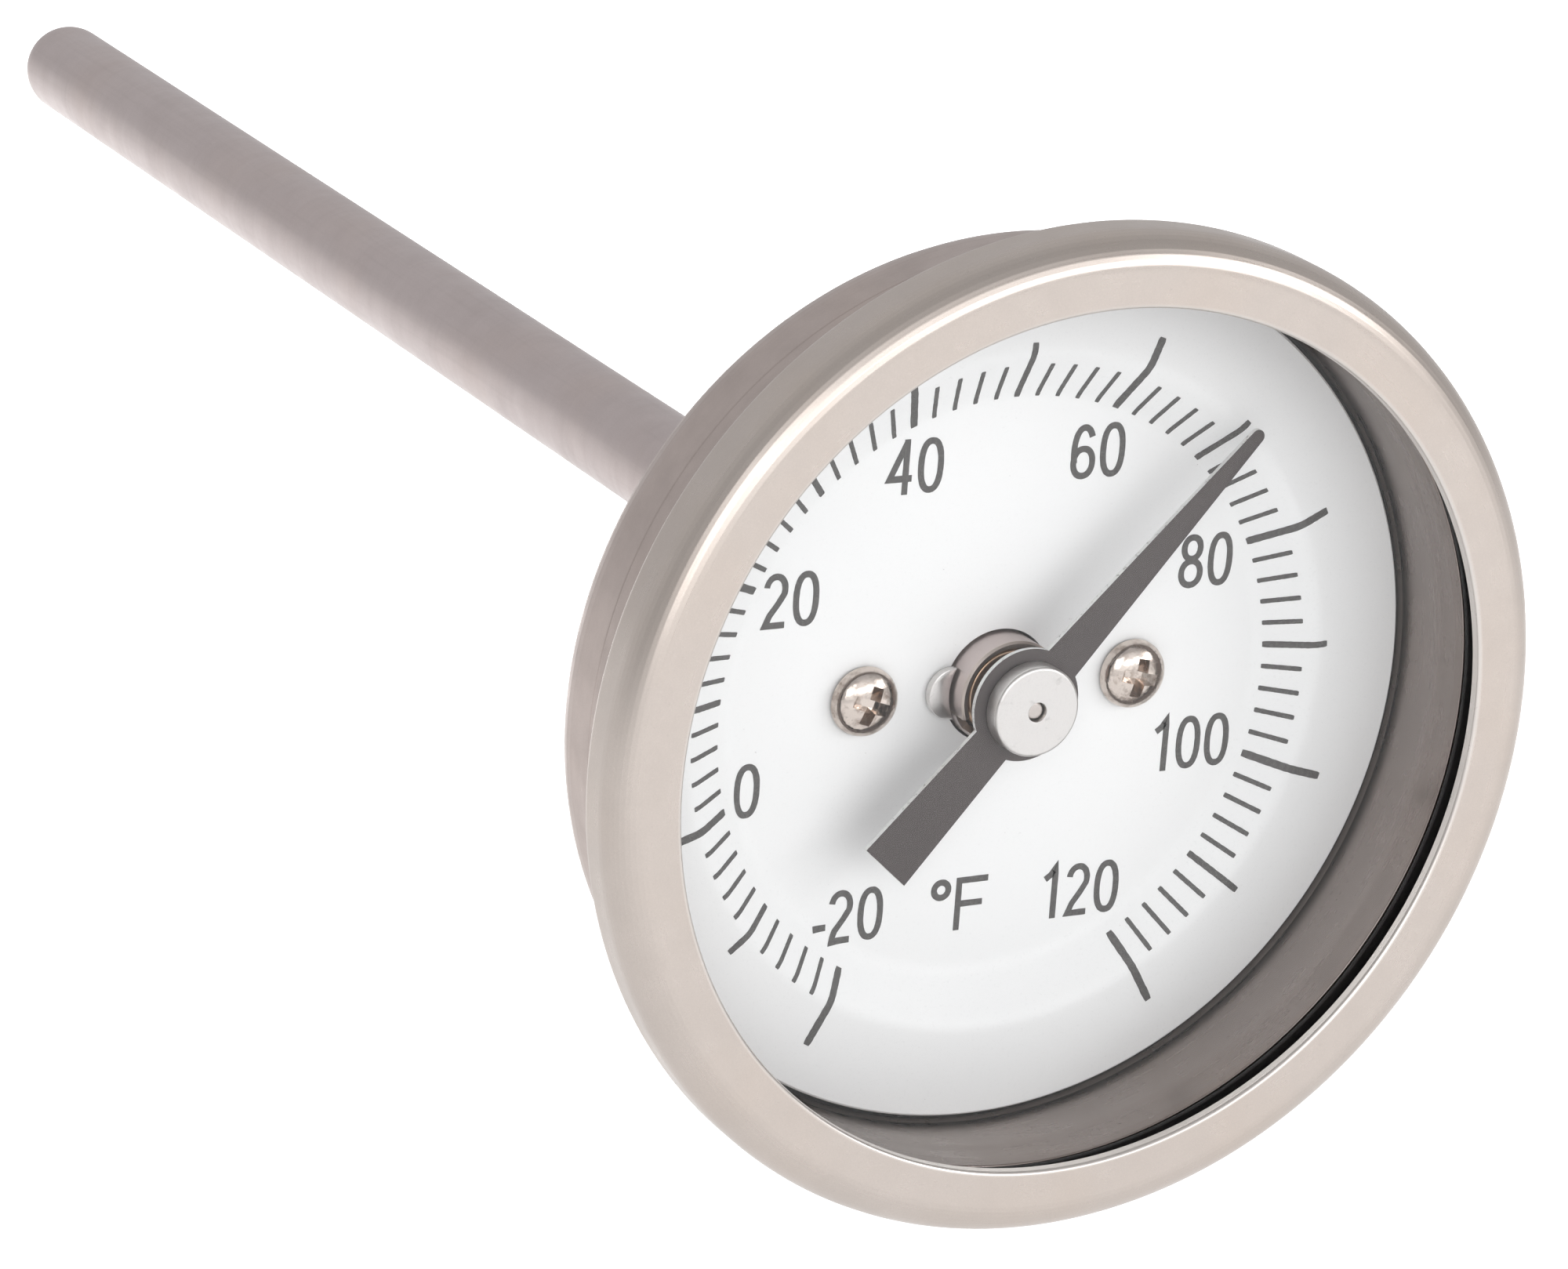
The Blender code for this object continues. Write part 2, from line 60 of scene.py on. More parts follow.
# Where the CAD nodes put the pieces
BEZEL_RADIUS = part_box("bezel_ring")[1].x / MM
BEZEL_DEPTH = (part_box("bezel_ring")[1].y - HEAD_FRONT) / MM
CASE_DEPTH = (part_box("case_shell")[1].y - HEAD_FRONT) / MM
FLANGE_DEPTH = (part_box("case_shell")[0].y - HEAD_FRONT) / MM
FLANGE_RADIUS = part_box("case_shell")[1].x / MM
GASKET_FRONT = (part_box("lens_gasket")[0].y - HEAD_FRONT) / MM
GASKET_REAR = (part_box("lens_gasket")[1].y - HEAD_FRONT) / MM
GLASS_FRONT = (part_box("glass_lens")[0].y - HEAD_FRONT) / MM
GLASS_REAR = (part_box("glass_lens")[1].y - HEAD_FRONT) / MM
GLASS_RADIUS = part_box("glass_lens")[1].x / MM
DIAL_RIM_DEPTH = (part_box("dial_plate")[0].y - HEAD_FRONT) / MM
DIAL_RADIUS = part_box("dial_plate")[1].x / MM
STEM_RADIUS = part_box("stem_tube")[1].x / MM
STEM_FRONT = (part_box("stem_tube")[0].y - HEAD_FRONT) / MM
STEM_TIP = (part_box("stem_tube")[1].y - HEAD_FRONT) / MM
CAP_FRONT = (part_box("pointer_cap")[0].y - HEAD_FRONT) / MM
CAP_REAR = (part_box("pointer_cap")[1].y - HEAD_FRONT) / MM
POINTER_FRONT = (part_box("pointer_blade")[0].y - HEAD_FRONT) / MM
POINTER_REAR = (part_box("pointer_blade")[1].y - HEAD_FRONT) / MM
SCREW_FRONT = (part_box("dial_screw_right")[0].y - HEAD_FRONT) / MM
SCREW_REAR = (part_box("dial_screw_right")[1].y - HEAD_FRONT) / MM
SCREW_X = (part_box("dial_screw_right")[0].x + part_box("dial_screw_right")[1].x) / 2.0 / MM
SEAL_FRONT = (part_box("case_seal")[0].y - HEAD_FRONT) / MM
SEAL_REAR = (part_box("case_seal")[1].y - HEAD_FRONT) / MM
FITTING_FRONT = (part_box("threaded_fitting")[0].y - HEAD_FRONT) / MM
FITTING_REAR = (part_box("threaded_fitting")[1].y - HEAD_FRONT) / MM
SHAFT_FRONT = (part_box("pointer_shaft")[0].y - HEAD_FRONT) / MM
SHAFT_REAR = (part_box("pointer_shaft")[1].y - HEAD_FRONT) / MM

# Shapes shared with the CAD, which its boxes don't give
CAP_RADIUS = 2.62
BEZEL_OPENING = 24.7
BEZEL_SHEET = 0.7
BEZEL_SHOULDER = 1.9
CRIMP_RADIUS = 26.7
CRIMP_SHEET = 0.45
LIP_RADIUS = 25.5
CASE_SHEET = 0.5
CASE_STEP_DEPTH = 9.0
CASE_STEP = 0.15
DIAL_DEPTH = 10.8
DIAL_SHEET = 0.4
DIAL_RAMP_START = 16.8
DIAL_RAMP_END = 19.7
STEM_BORE = 2.775
STEM_SLOT_CLOCK = 240.0
EAR_RADIUS = 1.5
EAR_CENTRE = -3.1
SEAL_RADIUS = 7.9
SPIGOT_RADIUS = 4.8
HEX_FLATS = 15.9
HEX_FRONT = 15.8
HEX_REAR = 22.8
THREAD_RADIUS = 6.85
THREAD_TAPER = 1.0 / 32.0
THREAD_PITCH = 25.4 / 18.0
SHAFT_RADIUS = 0.5

# Stage and camera
FLOOR_HEIGHT = -0.16
FLOOR_HALF = 6.0
CAMERA_PLACE = (-0.16738, -0.29693, 0.11310)
CAMERA_TURN = (28.354, -18.581, 4.100)          # heading, pitch and roll in degrees
CAMERA_LENS = 144.38

# Dial scale
TOP_READING = 50
DEGREES_PER_FAHRENHEIT = 300.0 / 140.0
REST_READING = 70
POINTER_CLOCK = (REST_READING - TOP_READING) * DEGREES_PER_FAHRENHEIT


# ---------------------------------------------------------------- profiles

def fillet(points, steps=6):
    """Round the corners of a polyline of (radius, depth, fillet) points."""
    result = []
    last = len(points) - 1
    for index, (radius, depth, round_radius) in enumerate(points):
        corner = Vector((radius, depth))
        if round_radius <= 0.0:
            result.append((radius, depth))
            continue
        before = Vector(points[index - 1][:2]) - corner
        after = Vector(points[0 if index == last else index + 1][:2]) - corner
        before.normalize()
        after.normalize()
        half = before.angle(after) / 2.0
        tangent = round_radius / math.tan(half)
        centre = corner + (before + after).normalized() * (round_radius / math.sin(half))
        start = corner + before * tangent - centre
        end = corner + after * tangent - centre
        sweep = start.angle(end)
        for step in range(steps + 1):
            share = step / steps
            spoke = (math.sin((1.0 - share) * sweep) * start + math.sin(share * sweep) * end)
            place = centre + spoke / math.sin(sweep)
            result.append((place.x, place.y))
    return result


def supported(points, closed, margin=0.05):
    """Add a point close to each end of a straight run, so that flats shade flat."""
    result = []
    ends = points[1:] + (points[:1] if closed else [])
    for first, second in zip(points, ends):
        result.append(first)
        length = math.dist(first, second)
        if length > 4.0 * margin:
            for share in (margin / length, 1.0 - margin / length):
                result.append((first[0] + (second[0] - first[0]) * share,
                               first[1] + (second[1] - first[1]) * share))
    if not closed:
        result.append(points[-1])
    return result


def subdivided(points, longest):
    """Add points so that no straight run is longer than the given length."""
    result = []
    for first, second in zip(points, points[1:]):
        count = max(1, math.ceil(math.dist(first, second) / longest))
        for step in range(count):
            share = step / count
            result.append((first[0] + (second[0] - first[0]) * share,
                           first[1] + (second[1] - first[1]) * share))
    result.append(points[-1])
    return result


# ------------------------------------------------------------------ meshes

def finish_mesh(name, builder, sharp=32.0, materials=()):
    """Turn a bmesh, built in millimetres with depth along Y, into an object."""
    for vertex in builder.verts:
        vertex.co = Vector((vertex.co.x * MM, HEAD_FRONT + vertex.co.y * MM, vertex.co.z * MM))
    bmesh.ops.recalc_face_normals(builder, faces=builder.faces)
    mesh = bpy.data.meshes.new(name)
    builder.to_mesh(mesh)
    builder.free()
    mesh.shade_smooth()
    mesh.set_sharp_from_angle(angle=math.radians(sharp))
    for material in materials:
        mesh.materials.append(material)
    piece = bpy.data.objects.new(name, mesh)
    bpy.context.scene.collection.objects.link(piece)
    return piece


def grid_mesh(profile, sides, radius_at=None):
    """Spin a profile round the axis; radius_at may bend each point's radius."""
    builder = bmesh.new()
    plug = profile[0][0] == 0.0 and profile[-1][0] == 0.0
    rows = []
    if radius_at is None:
        profile = supported(profile, not plug)
    for radius, depth in profile:
        if radius == 0.0:
            rows.append([builder.verts.new((0.0, depth, 0.0))])
            continue
        row = []
        for side in range(sides):
            angle = math.tau * side / sides
            bent = radius if radius_at is None else radius_at(radius, depth, angle)
            row.append(builder.verts.new((bent * math.cos(angle), depth, bent * math.sin(angle))))
        rows.append(row)
    pairs = list(zip(rows, rows[1:]))
    if not plug:
        pairs.append((rows[-1], rows[0]))
    for first, second in pairs:
        for side in range(sides):
            after = (side + 1) % sides
            if len(first) == 1:
                builder.faces.new((first[0], second[side], second[after]))
            elif len(second) == 1:
                builder.faces.new((first[side], second[0], first[after]))
            else:
                builder.faces.new((first[side], second[side], second[after], first[after]))
    return builder


def turned(name, profile, sides, materials, offset_x=0.0, sharp=32.0):
    builder = grid_mesh(profile, sides)
    bmesh.ops.translate(builder, verts=builder.verts, vec=(offset_x, 0.0, 0.0))
    return finish_mesh(name, builder, sharp, materials)


def prism_builder(outline, front, rear, bevel=0.0):
    """Extrude an (x, z) outline between two depths, with a small front bevel."""
    builder = bmesh.new()
    front_loop = [builder.verts.new((x, front, z)) for x, z in outline]
    rear_loop = [builder.verts.new((x, rear, z)) for x, z in outline]
    builder.faces.new(front_loop)
    builder.faces.new(list(reversed(rear_loop)))
    for index in range(len(outline)):
        after = (index + 1) % len(outline)
        builder.faces.new((front_loop[index], rear_loop[index], rear_loop[after],
                           front_loop[after]))
    bmesh.ops.recalc_face_normals(builder, faces=builder.faces)
    if bevel > 0.0:
        rim = [edge for edge in builder.edges
               if abs(edge.verts[0].co.y - edge.verts[1].co.y) < 1e-6]
        bmesh.ops.bevel(builder, geom=rim, offset=bevel, segments=2, profile=0.5,
                        affect="EDGES")
    return builder


SLIVER = 0.004 * MM                             # slivers that a boolean cut leaves


def cut(piece, cutter):
    """Subtract a cutter from a piece and delete the cutter."""
    modifier = piece.modifiers.new("cut", "BOOLEAN")
    modifier.operation = "DIFFERENCE"
    modifier.solver = "EXACT"
    modifier.object = cutter
    graph = bpy.context.evaluated_depsgraph_get()
    mesh = bpy.data.meshes.new_from_object(piece.evaluated_get(graph))
    piece.modifiers.clear()
    builder = bmesh.new()
    builder.from_mesh(mesh)
    bmesh.ops.remove_doubles(builder, verts=builder.verts, dist=SLIVER)
    bmesh.ops.dissolve_degenerate(builder, edges=builder.edges, dist=SLIVER)
    wide = [face for face in builder.faces if len(face.verts) > 4]
    bmesh.ops.triangulate(builder, faces=wide)
    builder.to_mesh(mesh)
    builder.free()
    old = piece.data
    piece.data = mesh
    mesh.name = piece.name
    bpy.data.meshes.remove(old)
    bpy.data.objects.remove(cutter)
    piece.data.shade_smooth()
    piece.data.set_sharp_from_angle(angle=math.radians(32.0))


def clock_direction(clock):
    angle = math.radians(clock)
    return math.sin(angle), math.cos(angle)


# --------------------------------------------------------------- materials

class Finish:
    """A Principled material with helpers for the node network behind it."""

    def __init__(self, name, color, roughness, metallic=0.0):
        self.material = bpy.data.materials.new(name)
        self.material.use_nodes = True
        self.tree = self.material.node_tree
        self.shader = self.tree.nodes["Principled BSDF"]
        self.color = color
        self.roughness = roughness
        self.shader.inputs["Base Color"].default_value = (*color, 1.0)
        self.shader.inputs["Roughness"].default_value = roughness
        self.shader.inputs["Metallic"].default_value = metallic
        coordinates = self.tree.nodes.new("ShaderNodeTexCoord")
        scale = self.tree.nodes.new("ShaderNodeVectorMath")
        scale.operation = "SCALE"
        scale.inputs["Scale"].default_value = 1.0 / MM
        self.tree.links.new(coordinates.outputs["Object"], scale.inputs[0])
        self.place = scale.outputs[0]
        self.height = None

    def math(self, operation, *values, clamp=False):
        node = self.tree.nodes.new("ShaderNodeMath")
        node.operation = operation
        node.use_clamp = clamp
        for socket, value in zip(node.inputs, values):
            if isinstance(value, (int, float)):
                socket.default_value = value
            else:
                self.tree.links.new(value, socket)
        return node.outputs[0]

    def polar(self):
        """Radius from the axis, distance along it, and the angle's cosine and sine."""
        split = self.tree.nodes.new("ShaderNodeSeparateXYZ")
        self.tree.links.new(self.place, split.inputs[0])
        x, y, z = split.outputs
        squares = self.math("ADD", self.math("MULTIPLY", x, x), self.math("MULTIPLY", z, z))
        radius = self.math("SQRT", squares)
        safe = self.math("MAXIMUM", radius, 0.001)
        return radius, y, self.math("DIVIDE", x, safe), self.math("DIVIDE", z, safe)

    def noise(self, scale, detail=2.0, rough=0.5, stretch=None):
        """Noise over the piece; the scale is in cycles for each millimetre."""
        node = self.tree.nodes.new("ShaderNodeTexNoise")
        node.inputs["Scale"].default_value = scale
        node.inputs["Detail"].default_value = detail
        node.inputs["Roughness"].default_value = rough
        source = self.place
        if stretch is not None:
            mapping = self.tree.nodes.new("ShaderNodeMapping")
            mapping.inputs["Scale"].default_value = stretch
            self.tree.links.new(self.place, mapping.inputs["Vector"])
            source = mapping.outputs[0]
        self.tree.links.new(source, node.inputs["Vector"])
        return node.outputs["Fac"]

    def turning_lines(self, fine, wander=0.6, detail=2.0):
        """Noise drawn out round the axis, as a lathe or a polishing belt leaves."""
        radius, along, cosine, sine = self.polar()
        join = self.tree.nodes.new("ShaderNodeCombineXYZ")
        values = (self.math("MULTIPLY", radius, fine), self.math("MULTIPLY", along, fine),
                  self.math("MULTIPLY", cosine, wander))
        for socket, value in zip(join.inputs, values):
            self.tree.links.new(value, socket)
        node = self.tree.nodes.new("ShaderNodeTexNoise")
        node.noise_dimensions = "4D"
        node.inputs["Scale"].default_value = 1.0
        node.inputs["Detail"].default_value = detail
        self.tree.links.new(join.outputs[0], node.inputs["Vector"])
        self.tree.links.new(self.math("MULTIPLY", sine, wander), node.inputs["W"])
        return node.outputs["Fac"]

    def remap(self, value, low, high, start=0.0, end=1.0):
        node = self.tree.nodes.new("ShaderNodeMapRange")
        node.inputs["From Min"].default_value = start
        node.inputs["From Max"].default_value = end
        node.inputs["To Min"].default_value = low
        node.inputs["To Max"].default_value = high
        self.tree.links.new(value, node.inputs["Value"])
        return node.outputs["Result"]

    def band(self, value, start, end):
        """1 between start and end, fading across each end over 0.3 of the width."""
        edge = max(0.02, abs(end - start) * 0.3)
        rise = self.remap(value, 0.0, 1.0, start - edge, start + edge)
        fall = self.remap(value, 1.0, 0.0, end - edge, end + edge)
        return self.math("MULTIPLY", rise, fall)

    def tint(self, factor, color):
        """Lay another colour over what the base colour is so far."""
        node = self.tree.nodes.new("ShaderNodeMix")
        node.data_type = "RGBA"
        base = self.shader.inputs["Base Color"]
        if base.is_linked:
            self.tree.links.new(base.links[0].from_socket, node.inputs[6])
        else:
            node.inputs[6].default_value = (*self.color, 1.0)
        node.inputs[7].default_value = (*color, 1.0)
        self.tree.links.new(factor, node.inputs[0])
        self.tree.links.new(node.outputs[2], base)

    def stain(self, value, strength, start, end, color):
        """Lay a colour over the base, to a strength, where a value goes from start to end."""
        self.tint(self.remap(value, 0.0, strength, start, end), color)

    def shine(self, value):
        self.tree.links.new(value, self.shader.inputs["Roughness"])

    def relief(self, height, distance):
        """Add a bump; the distance is in millimetres."""
        node = self.tree.nodes.new("ShaderNodeBump")
        node.inputs["Distance"].default_value = distance * MM
        node.inputs["Strength"].default_value = 1.0
        self.tree.links.new(height, node.inputs["Height"])
        if self.height is not None:
            self.tree.links.new(self.height, node.inputs["Normal"])
        self.height = node.outputs[0]
        self.tree.links.new(self.height, self.shader.inputs["Normal"])


def scaled(color, factor):
    return tuple(min(1.0, channel * factor) for channel in color)


def steel(name, color, roughness, line_scale=7.0, line_depth=0.0012, grain_depth=0.0015,
          mottle=0.10):
    """Satin stainless: cloudy stain, lines round the axis and a fine blasted grain."""
    finish = Finish(name, color, roughness, 1.0)
    clouds = finish.noise(0.35, 4.0, 0.6)
    finish.stain(clouds, 1.0, 0.35, 0.7, scaled(color, 1.0 - mottle))
    warm = finish.noise(0.13, 2.0)
    finish.stain(warm, 0.35, 0.45, 0.75, (color[0], color[1] * 0.95, color[2] * 0.9))
    grain = finish.noise(11.0, 2.0, 0.6)
    finish.stain(grain, 0.5, 0.52, 0.75, scaled(color, 0.9))
    finish.tint(finish.remap(grain, 0.4, 0.0, 0.25, 0.45), scaled(color, 1.1))
    lines = finish.turning_lines(line_scale)
    finish.shine(finish.remap(finish.math("ADD", lines, clouds), roughness * 0.8,
                              roughness * 1.25, 0.6, 1.4))
    finish.relief(lines, line_depth)
    finish.relief(grain, grain_depth)
    return finish


def make_materials():
    table = {}
    bezel_color = (0.615, 0.55, 0.505)
    bezel = steel("bezel_satin_steel", bezel_color, 0.30, line_depth=0.0008, mottle=0.05)
    radius, _, _, _ = bezel.polar()
    # Edge wear with a painted highlight: a thin band of lighter base colour along the inner lip
    # stands in for the bright line a lamp puts on the rounded edge.
    lip = bezel.band(radius, BEZEL_OPENING - 0.1, BEZEL_OPENING + 0.2)
    bezel.tint(bezel.math("MULTIPLY", lip, 0.5), (0.93, 0.9, 0.87))
    fleck = bezel.noise(2.2, 3.0, 0.7)
    bezel.stain(fleck, 0.25, 0.66, 0.74, scaled(bezel_color, 0.7))
    table["bezel"] = bezel

    case_color = (0.56, 0.48, 0.445)
    table["case"] = steel("case_satin_steel", case_color, 0.33, line_scale=5.0,
                          line_depth=0.0022, mottle=0.12)
    # Painted shade: the cup's inside is the case steel in a copy about half as bright, standing for
    # the shade inside the recess.
    inside = steel("case_inside_steel_painted_shade", (0.31, 0.268, 0.25), 0.28, line_scale=3.0,
                   line_depth=0.0001, grain_depth=0.0002, mottle=0.04)
    speck = inside.noise(1.6, 2.0, 0.7)
    inside.stain(speck, 0.25, 0.70, 0.76, (0.12, 0.10, 0.09))
    table["inside"] = inside

    stem = steel("stem_drawn_steel", (0.60, 0.525, 0.51), 0.36, line_scale=2.2,
                 line_depth=0.0008, mottle=0.05)
    pull = stem.noise(1.0, 3.0, 0.6, stretch=(3.0, 0.06, 3.0))
    stem.stain(pull, 0.2, 0.5, 0.72, (0.47, 0.41, 0.39))
    stem.relief(pull, 0.002)
    table["stem"] = stem

    ground = steel("stem_end_steel", (0.66, 0.58, 0.53), 0.34, line_scale=9.0,
                   line_depth=0.003, mottle=0.18)
    table["ground"] = ground

    fitting = steel("fitting_turned_steel", (0.62, 0.57, 0.54), 0.32, line_scale=9.0,
                    line_depth=0.003, mottle=0.1)
    table["fitting"] = fitting

    rubber = Finish("black_moulded_rubber", (0.022, 0.021, 0.021), 0.6)
    dust = rubber.noise(1.2, 4.0, 0.65)
    rubber.stain(dust, 0.6, 0.55, 0.85, (0.05, 0.049, 0.047))
    rubber.shine(rubber.remap(rubber.noise(6.0, 2.0), 0.45, 0.7))
    rubber.relief(rubber.noise(14.0, 2.0), 0.004)
    table["rubber"] = rubber

    glass = Finish("clear_flat_glass", (1.0, 1.0, 1.0), 0.03, 1.0)
    glass.shader.inputs["Alpha"].default_value = 0.02
    glass.shine(glass.remap(glass.noise(0.25, 4.0, 0.6), 0.015, 0.08, 0.35, 0.7))
    table["glass"] = glass

    enamel_color = (0.90, 0.906, 0.904)
    enamel = Finish("white_dial_enamel", enamel_color, 0.42)
    tone = enamel.noise(0.09, 2.0)
    enamel.stain(tone, 0.5, 0.4, 0.7, (0.885, 0.894, 0.896))
    speckle = enamel.noise(7.0, 2.0, 0.7)
    enamel.stain(speckle, 0.35, 0.58, 0.75, (0.72, 0.73, 0.73))
    dirt = enamel.noise(1.9, 3.0, 0.75)
    enamel.stain(dirt, 0.75, 0.735, 0.78, (0.30, 0.29, 0.28))
    enamel.shine(enamel.remap(enamel.noise(0.8, 3.0), 0.36, 0.5))
    enamel.relief(speckle, 0.004)
    table["enamel"] = enamel

    ink = Finish("dial_ink", (0.078, 0.075, 0.073), 0.6)
    ink.stain(ink.noise(5.0, 3.0, 0.7), 0.8, 0.45, 0.75, (0.15, 0.145, 0.14))
    ink.shine(ink.remap(ink.noise(8.0, 2.0), 0.45, 0.65))
    ink.relief(ink.noise(20.0, 1.0), 0.003)
    table["ink"] = ink

    paint = Finish("pointer_dark_paint", (0.066, 0.055, 0.054), 0.7)
    paint.stain(paint.noise(6.0, 3.0, 0.6), 0.5, 0.4, 0.7, (0.09, 0.076, 0.074))
    paint.stain(paint.noise(1.1, 2.0), 0.3, 0.5, 0.8, (0.068, 0.058, 0.057))
    paint.shine(paint.remap(paint.noise(9.0, 2.0), 0.5, 0.75))
    paint.relief(paint.noise(16.0, 2.0), 0.004)
    table["paint"] = paint

    edge = Finish("pointer_sheared_edge", (0.80, 0.80, 0.79), 0.4, 0.6)
    edge.stain(edge.noise(3.5, 4.0, 0.75), 0.85, 0.56, 0.70, (0.14, 0.13, 0.125))
    edge.shine(edge.remap(edge.noise(9.0, 2.0), 0.3, 0.5))
    edge.relief(edge.noise(12.0, 2.0), 0.005)
    table["edge"] = edge

    aluminium_color = (0.72, 0.70, 0.685)
    aluminium = Finish("turned_aluminium", aluminium_color, 0.38, 1.0)
    rings = aluminium.noise(1.0)
    facing = aluminium.noise(9.0, 3.0, 0.6)
    rub = aluminium.noise(1.3, 4.0, 0.7)
    aluminium.stain(facing, 0.45, 0.5, 0.75, (0.6, 0.585, 0.57))
    aluminium.stain(rub, 0.6, 0.6, 0.78, (0.42, 0.40, 0.385))
    aluminium.shine(aluminium.remap(rings, 0.3, 0.45, 0.3, 0.7))
    aluminium.relief(facing, 0.006)
    table["aluminium"] = aluminium

    nickel = Finish("plated_screw", (0.66, 0.585, 0.53), 0.12, 1.0)
    tarnish = nickel.noise(1.5, 4.0, 0.65)
    nickel.stain(tarnish, 0.85, 0.46, 0.66, (0.34, 0.27, 0.23))
    nickel.shine(nickel.remap(tarnish, 0.10, 0.32, 0.4, 0.7))
    nickel.relief(nickel.noise(3.0, 2.0), 0.012)
    table["nickel"] = nickel

    brass = Finish("turned_brass", (0.72, 0.50, 0.34), 0.3, 1.0)
    brass.stain(brass.noise(0.9, 3.0), 0.6, 0.45, 0.7, (0.5, 0.33, 0.22))
    brass.shine(brass.remap(brass.turning_lines(8.0), 0.22, 0.4))
    brass.relief(brass.turning_lines(10.0), 0.003)
    table["brass"] = brass

    fibre = Finish("pressed_fibre_seal", (0.62, 0.60, 0.55), 0.8)
    strands = fibre.noise(2.5, 4.0, 0.7, stretch=(1.0, 4.0, 1.0))
    fibre.stain(strands, 0.8, 0.45, 0.7, (0.42, 0.40, 0.36))
    fibre.shine(fibre.remap(strands, 0.7, 0.9))
    fibre.relief(strands, 0.03)
    table["fibre"] = fibre

    bimetal = Finish("bimetal_strip", (0.52, 0.45, 0.38), 0.35, 1.0)
    heat = bimetal.noise(0.4, 3.0)
    bimetal.stain(heat, 0.7, 0.4, 0.7, (0.42, 0.36, 0.42))
    bimetal.shine(bimetal.remap(bimetal.noise(5.0, 2.0), 0.28, 0.45))
    bimetal.relief(bimetal.noise(7.0, 2.0), 0.003)
    table["bimetal"] = bimetal
    return {key: finish.material for key, finish in table.items()}


# ---------------------------------------------------------- head and glass

def build_bezel(materials):
    """Channel ring: nearly flat front, rounded shoulder, crimped rear lip."""
    inner = BEZEL_RADIUS - BEZEL_SHEET
    profile = fillet([
        (BEZEL_OPENING, 0.0, 0.26),
        (BEZEL_RADIUS, 0.0, BEZEL_SHOULDER),
        (BEZEL_RADIUS, BEZEL_DEPTH, 0.6),
        (CRIMP_RADIUS, BEZEL_DEPTH, 0.1),
        (CRIMP_RADIUS, BEZEL_DEPTH - CRIMP_SHEET, 0.0),
        (inner, BEZEL_DEPTH - CRIMP_SHEET, 0.0),
        (inner, BEZEL_SHEET, 1.0),
        (BEZEL_OPENING, BEZEL_SHEET, 0.08)], steps=10)
    piece = turned("bezel_ring_smooth", profile, HEAD_SIDES, [materials["bezel"]])
    return attach(piece, "housing", "bezel_steel", "bezel_ring")


def build_gasket_and_glass(materials):
    lip = (GASKET_REAR - GASKET_FRONT - (GLASS_REAR - GLASS_FRONT) - 2.0 * GAP) / 2.0
    groove = GLASS_RADIUS + GAP
    profile = fillet([
        (LIP_RADIUS, GASKET_FRONT, 0.12), (FLANGE_RADIUS, GASKET_FRONT, 0.95),
        (FLANGE_RADIUS, GASKET_REAR, 0.1), (LIP_RADIUS, GASKET_REAR, 0.12),
        (LIP_RADIUS, GASKET_REAR - lip, 0.1), (groove, GASKET_REAR - lip, 0.0),
        (groove, GASKET_FRONT + lip, 0.0), (LIP_RADIUS, GASKET_FRONT + lip, 0.1)], steps=4)
    gasket = turned("lens_gasket_smooth", profile, HEAD_SIDES, [materials["rubber"]])
    attach(gasket, "housing", "black_rubber", "lens_gasket")
    profile = [(0.0, GLASS_FRONT), (GLASS_RADIUS - 0.15, GLASS_FRONT),
               (GLASS_RADIUS - 0.04, GLASS_FRONT + 0.04), (GLASS_RADIUS, GLASS_FRONT + 0.15),
               (GLASS_RADIUS, GLASS_REAR - 0.15), (GLASS_RADIUS - 0.04, GLASS_REAR - 0.04),
               (GLASS_RADIUS - 0.15, GLASS_REAR), (0.0, GLASS_REAR)]
    glass = turned("glass_lens_smooth", profile, HEAD_SIDES, [materials["glass"]])
    attach(glass, "housing", "clear_glass", "glass_lens")


def build_case(materials):
    """Drawn cup with a rolled flange and a fine step in its side wall."""
    outer = LIP_RADIUS + CASE_SHEET
    back_inside = CASE_DEPTH - CASE_SHEET
    bore = SPIGOT_RADIUS + GAP
    inner_low = LIP_RADIUS - CASE_STEP
    low = outer - CASE_STEP
    profile = fillet([
        (LIP_RADIUS, FLANGE_DEPTH, 0.12),
        (FLANGE_RADIUS, FLANGE_DEPTH, 0.12),
        (FLANGE_RADIUS, FLANGE_DEPTH + 0.4, 0.12),
        (outer, FLANGE_DEPTH + 0.4, 0.25),
        (outer, CASE_STEP_DEPTH - 0.15, 0.05),
        (low - 0.14, CASE_STEP_DEPTH + 0.02, 0.05),
        (low, CASE_STEP_DEPTH + 0.24, 0.05),
        (low, CASE_DEPTH, 3.0),
        (bore, CASE_DEPTH, 0.12),
        (bore, back_inside, 0.1),
        (inner_low, back_inside, 2.5),
        (inner_low, CASE_STEP_DEPTH + 0.5, 0.1),
        (LIP_RADIUS, CASE_STEP_DEPTH + 0.2, 0.1)], steps=10)
    builder = grid_mesh(subdivided(profile + profile[:1], 2.5)[:-1], HEAD_SIDES)
    piece = finish_mesh("case_shell_smooth", builder, 32.0,
                        [materials["case"], materials["inside"]])
    # Faces turned towards the axis, and the back of the cup inside, take the darker inside steel,
    # the painted shade of the recess.
    for face in piece.data.polygons:
        spot = face.center
        away = Vector((spot.x, 0.0, spot.z))
        depth = (spot.y - HEAD_FRONT) / MM
        faces_axis = face.normal.dot(away) < 0.0 and away.length / MM > SPIGOT_RADIUS + 1.0
        if faces_axis or (depth < back_inside + 0.1 and face.normal.y < -0.5
                          and away.length / MM < LIP_RADIUS):
            face.material_index = 1
    return attach(piece, "housing", "case_steel", "case_shell")


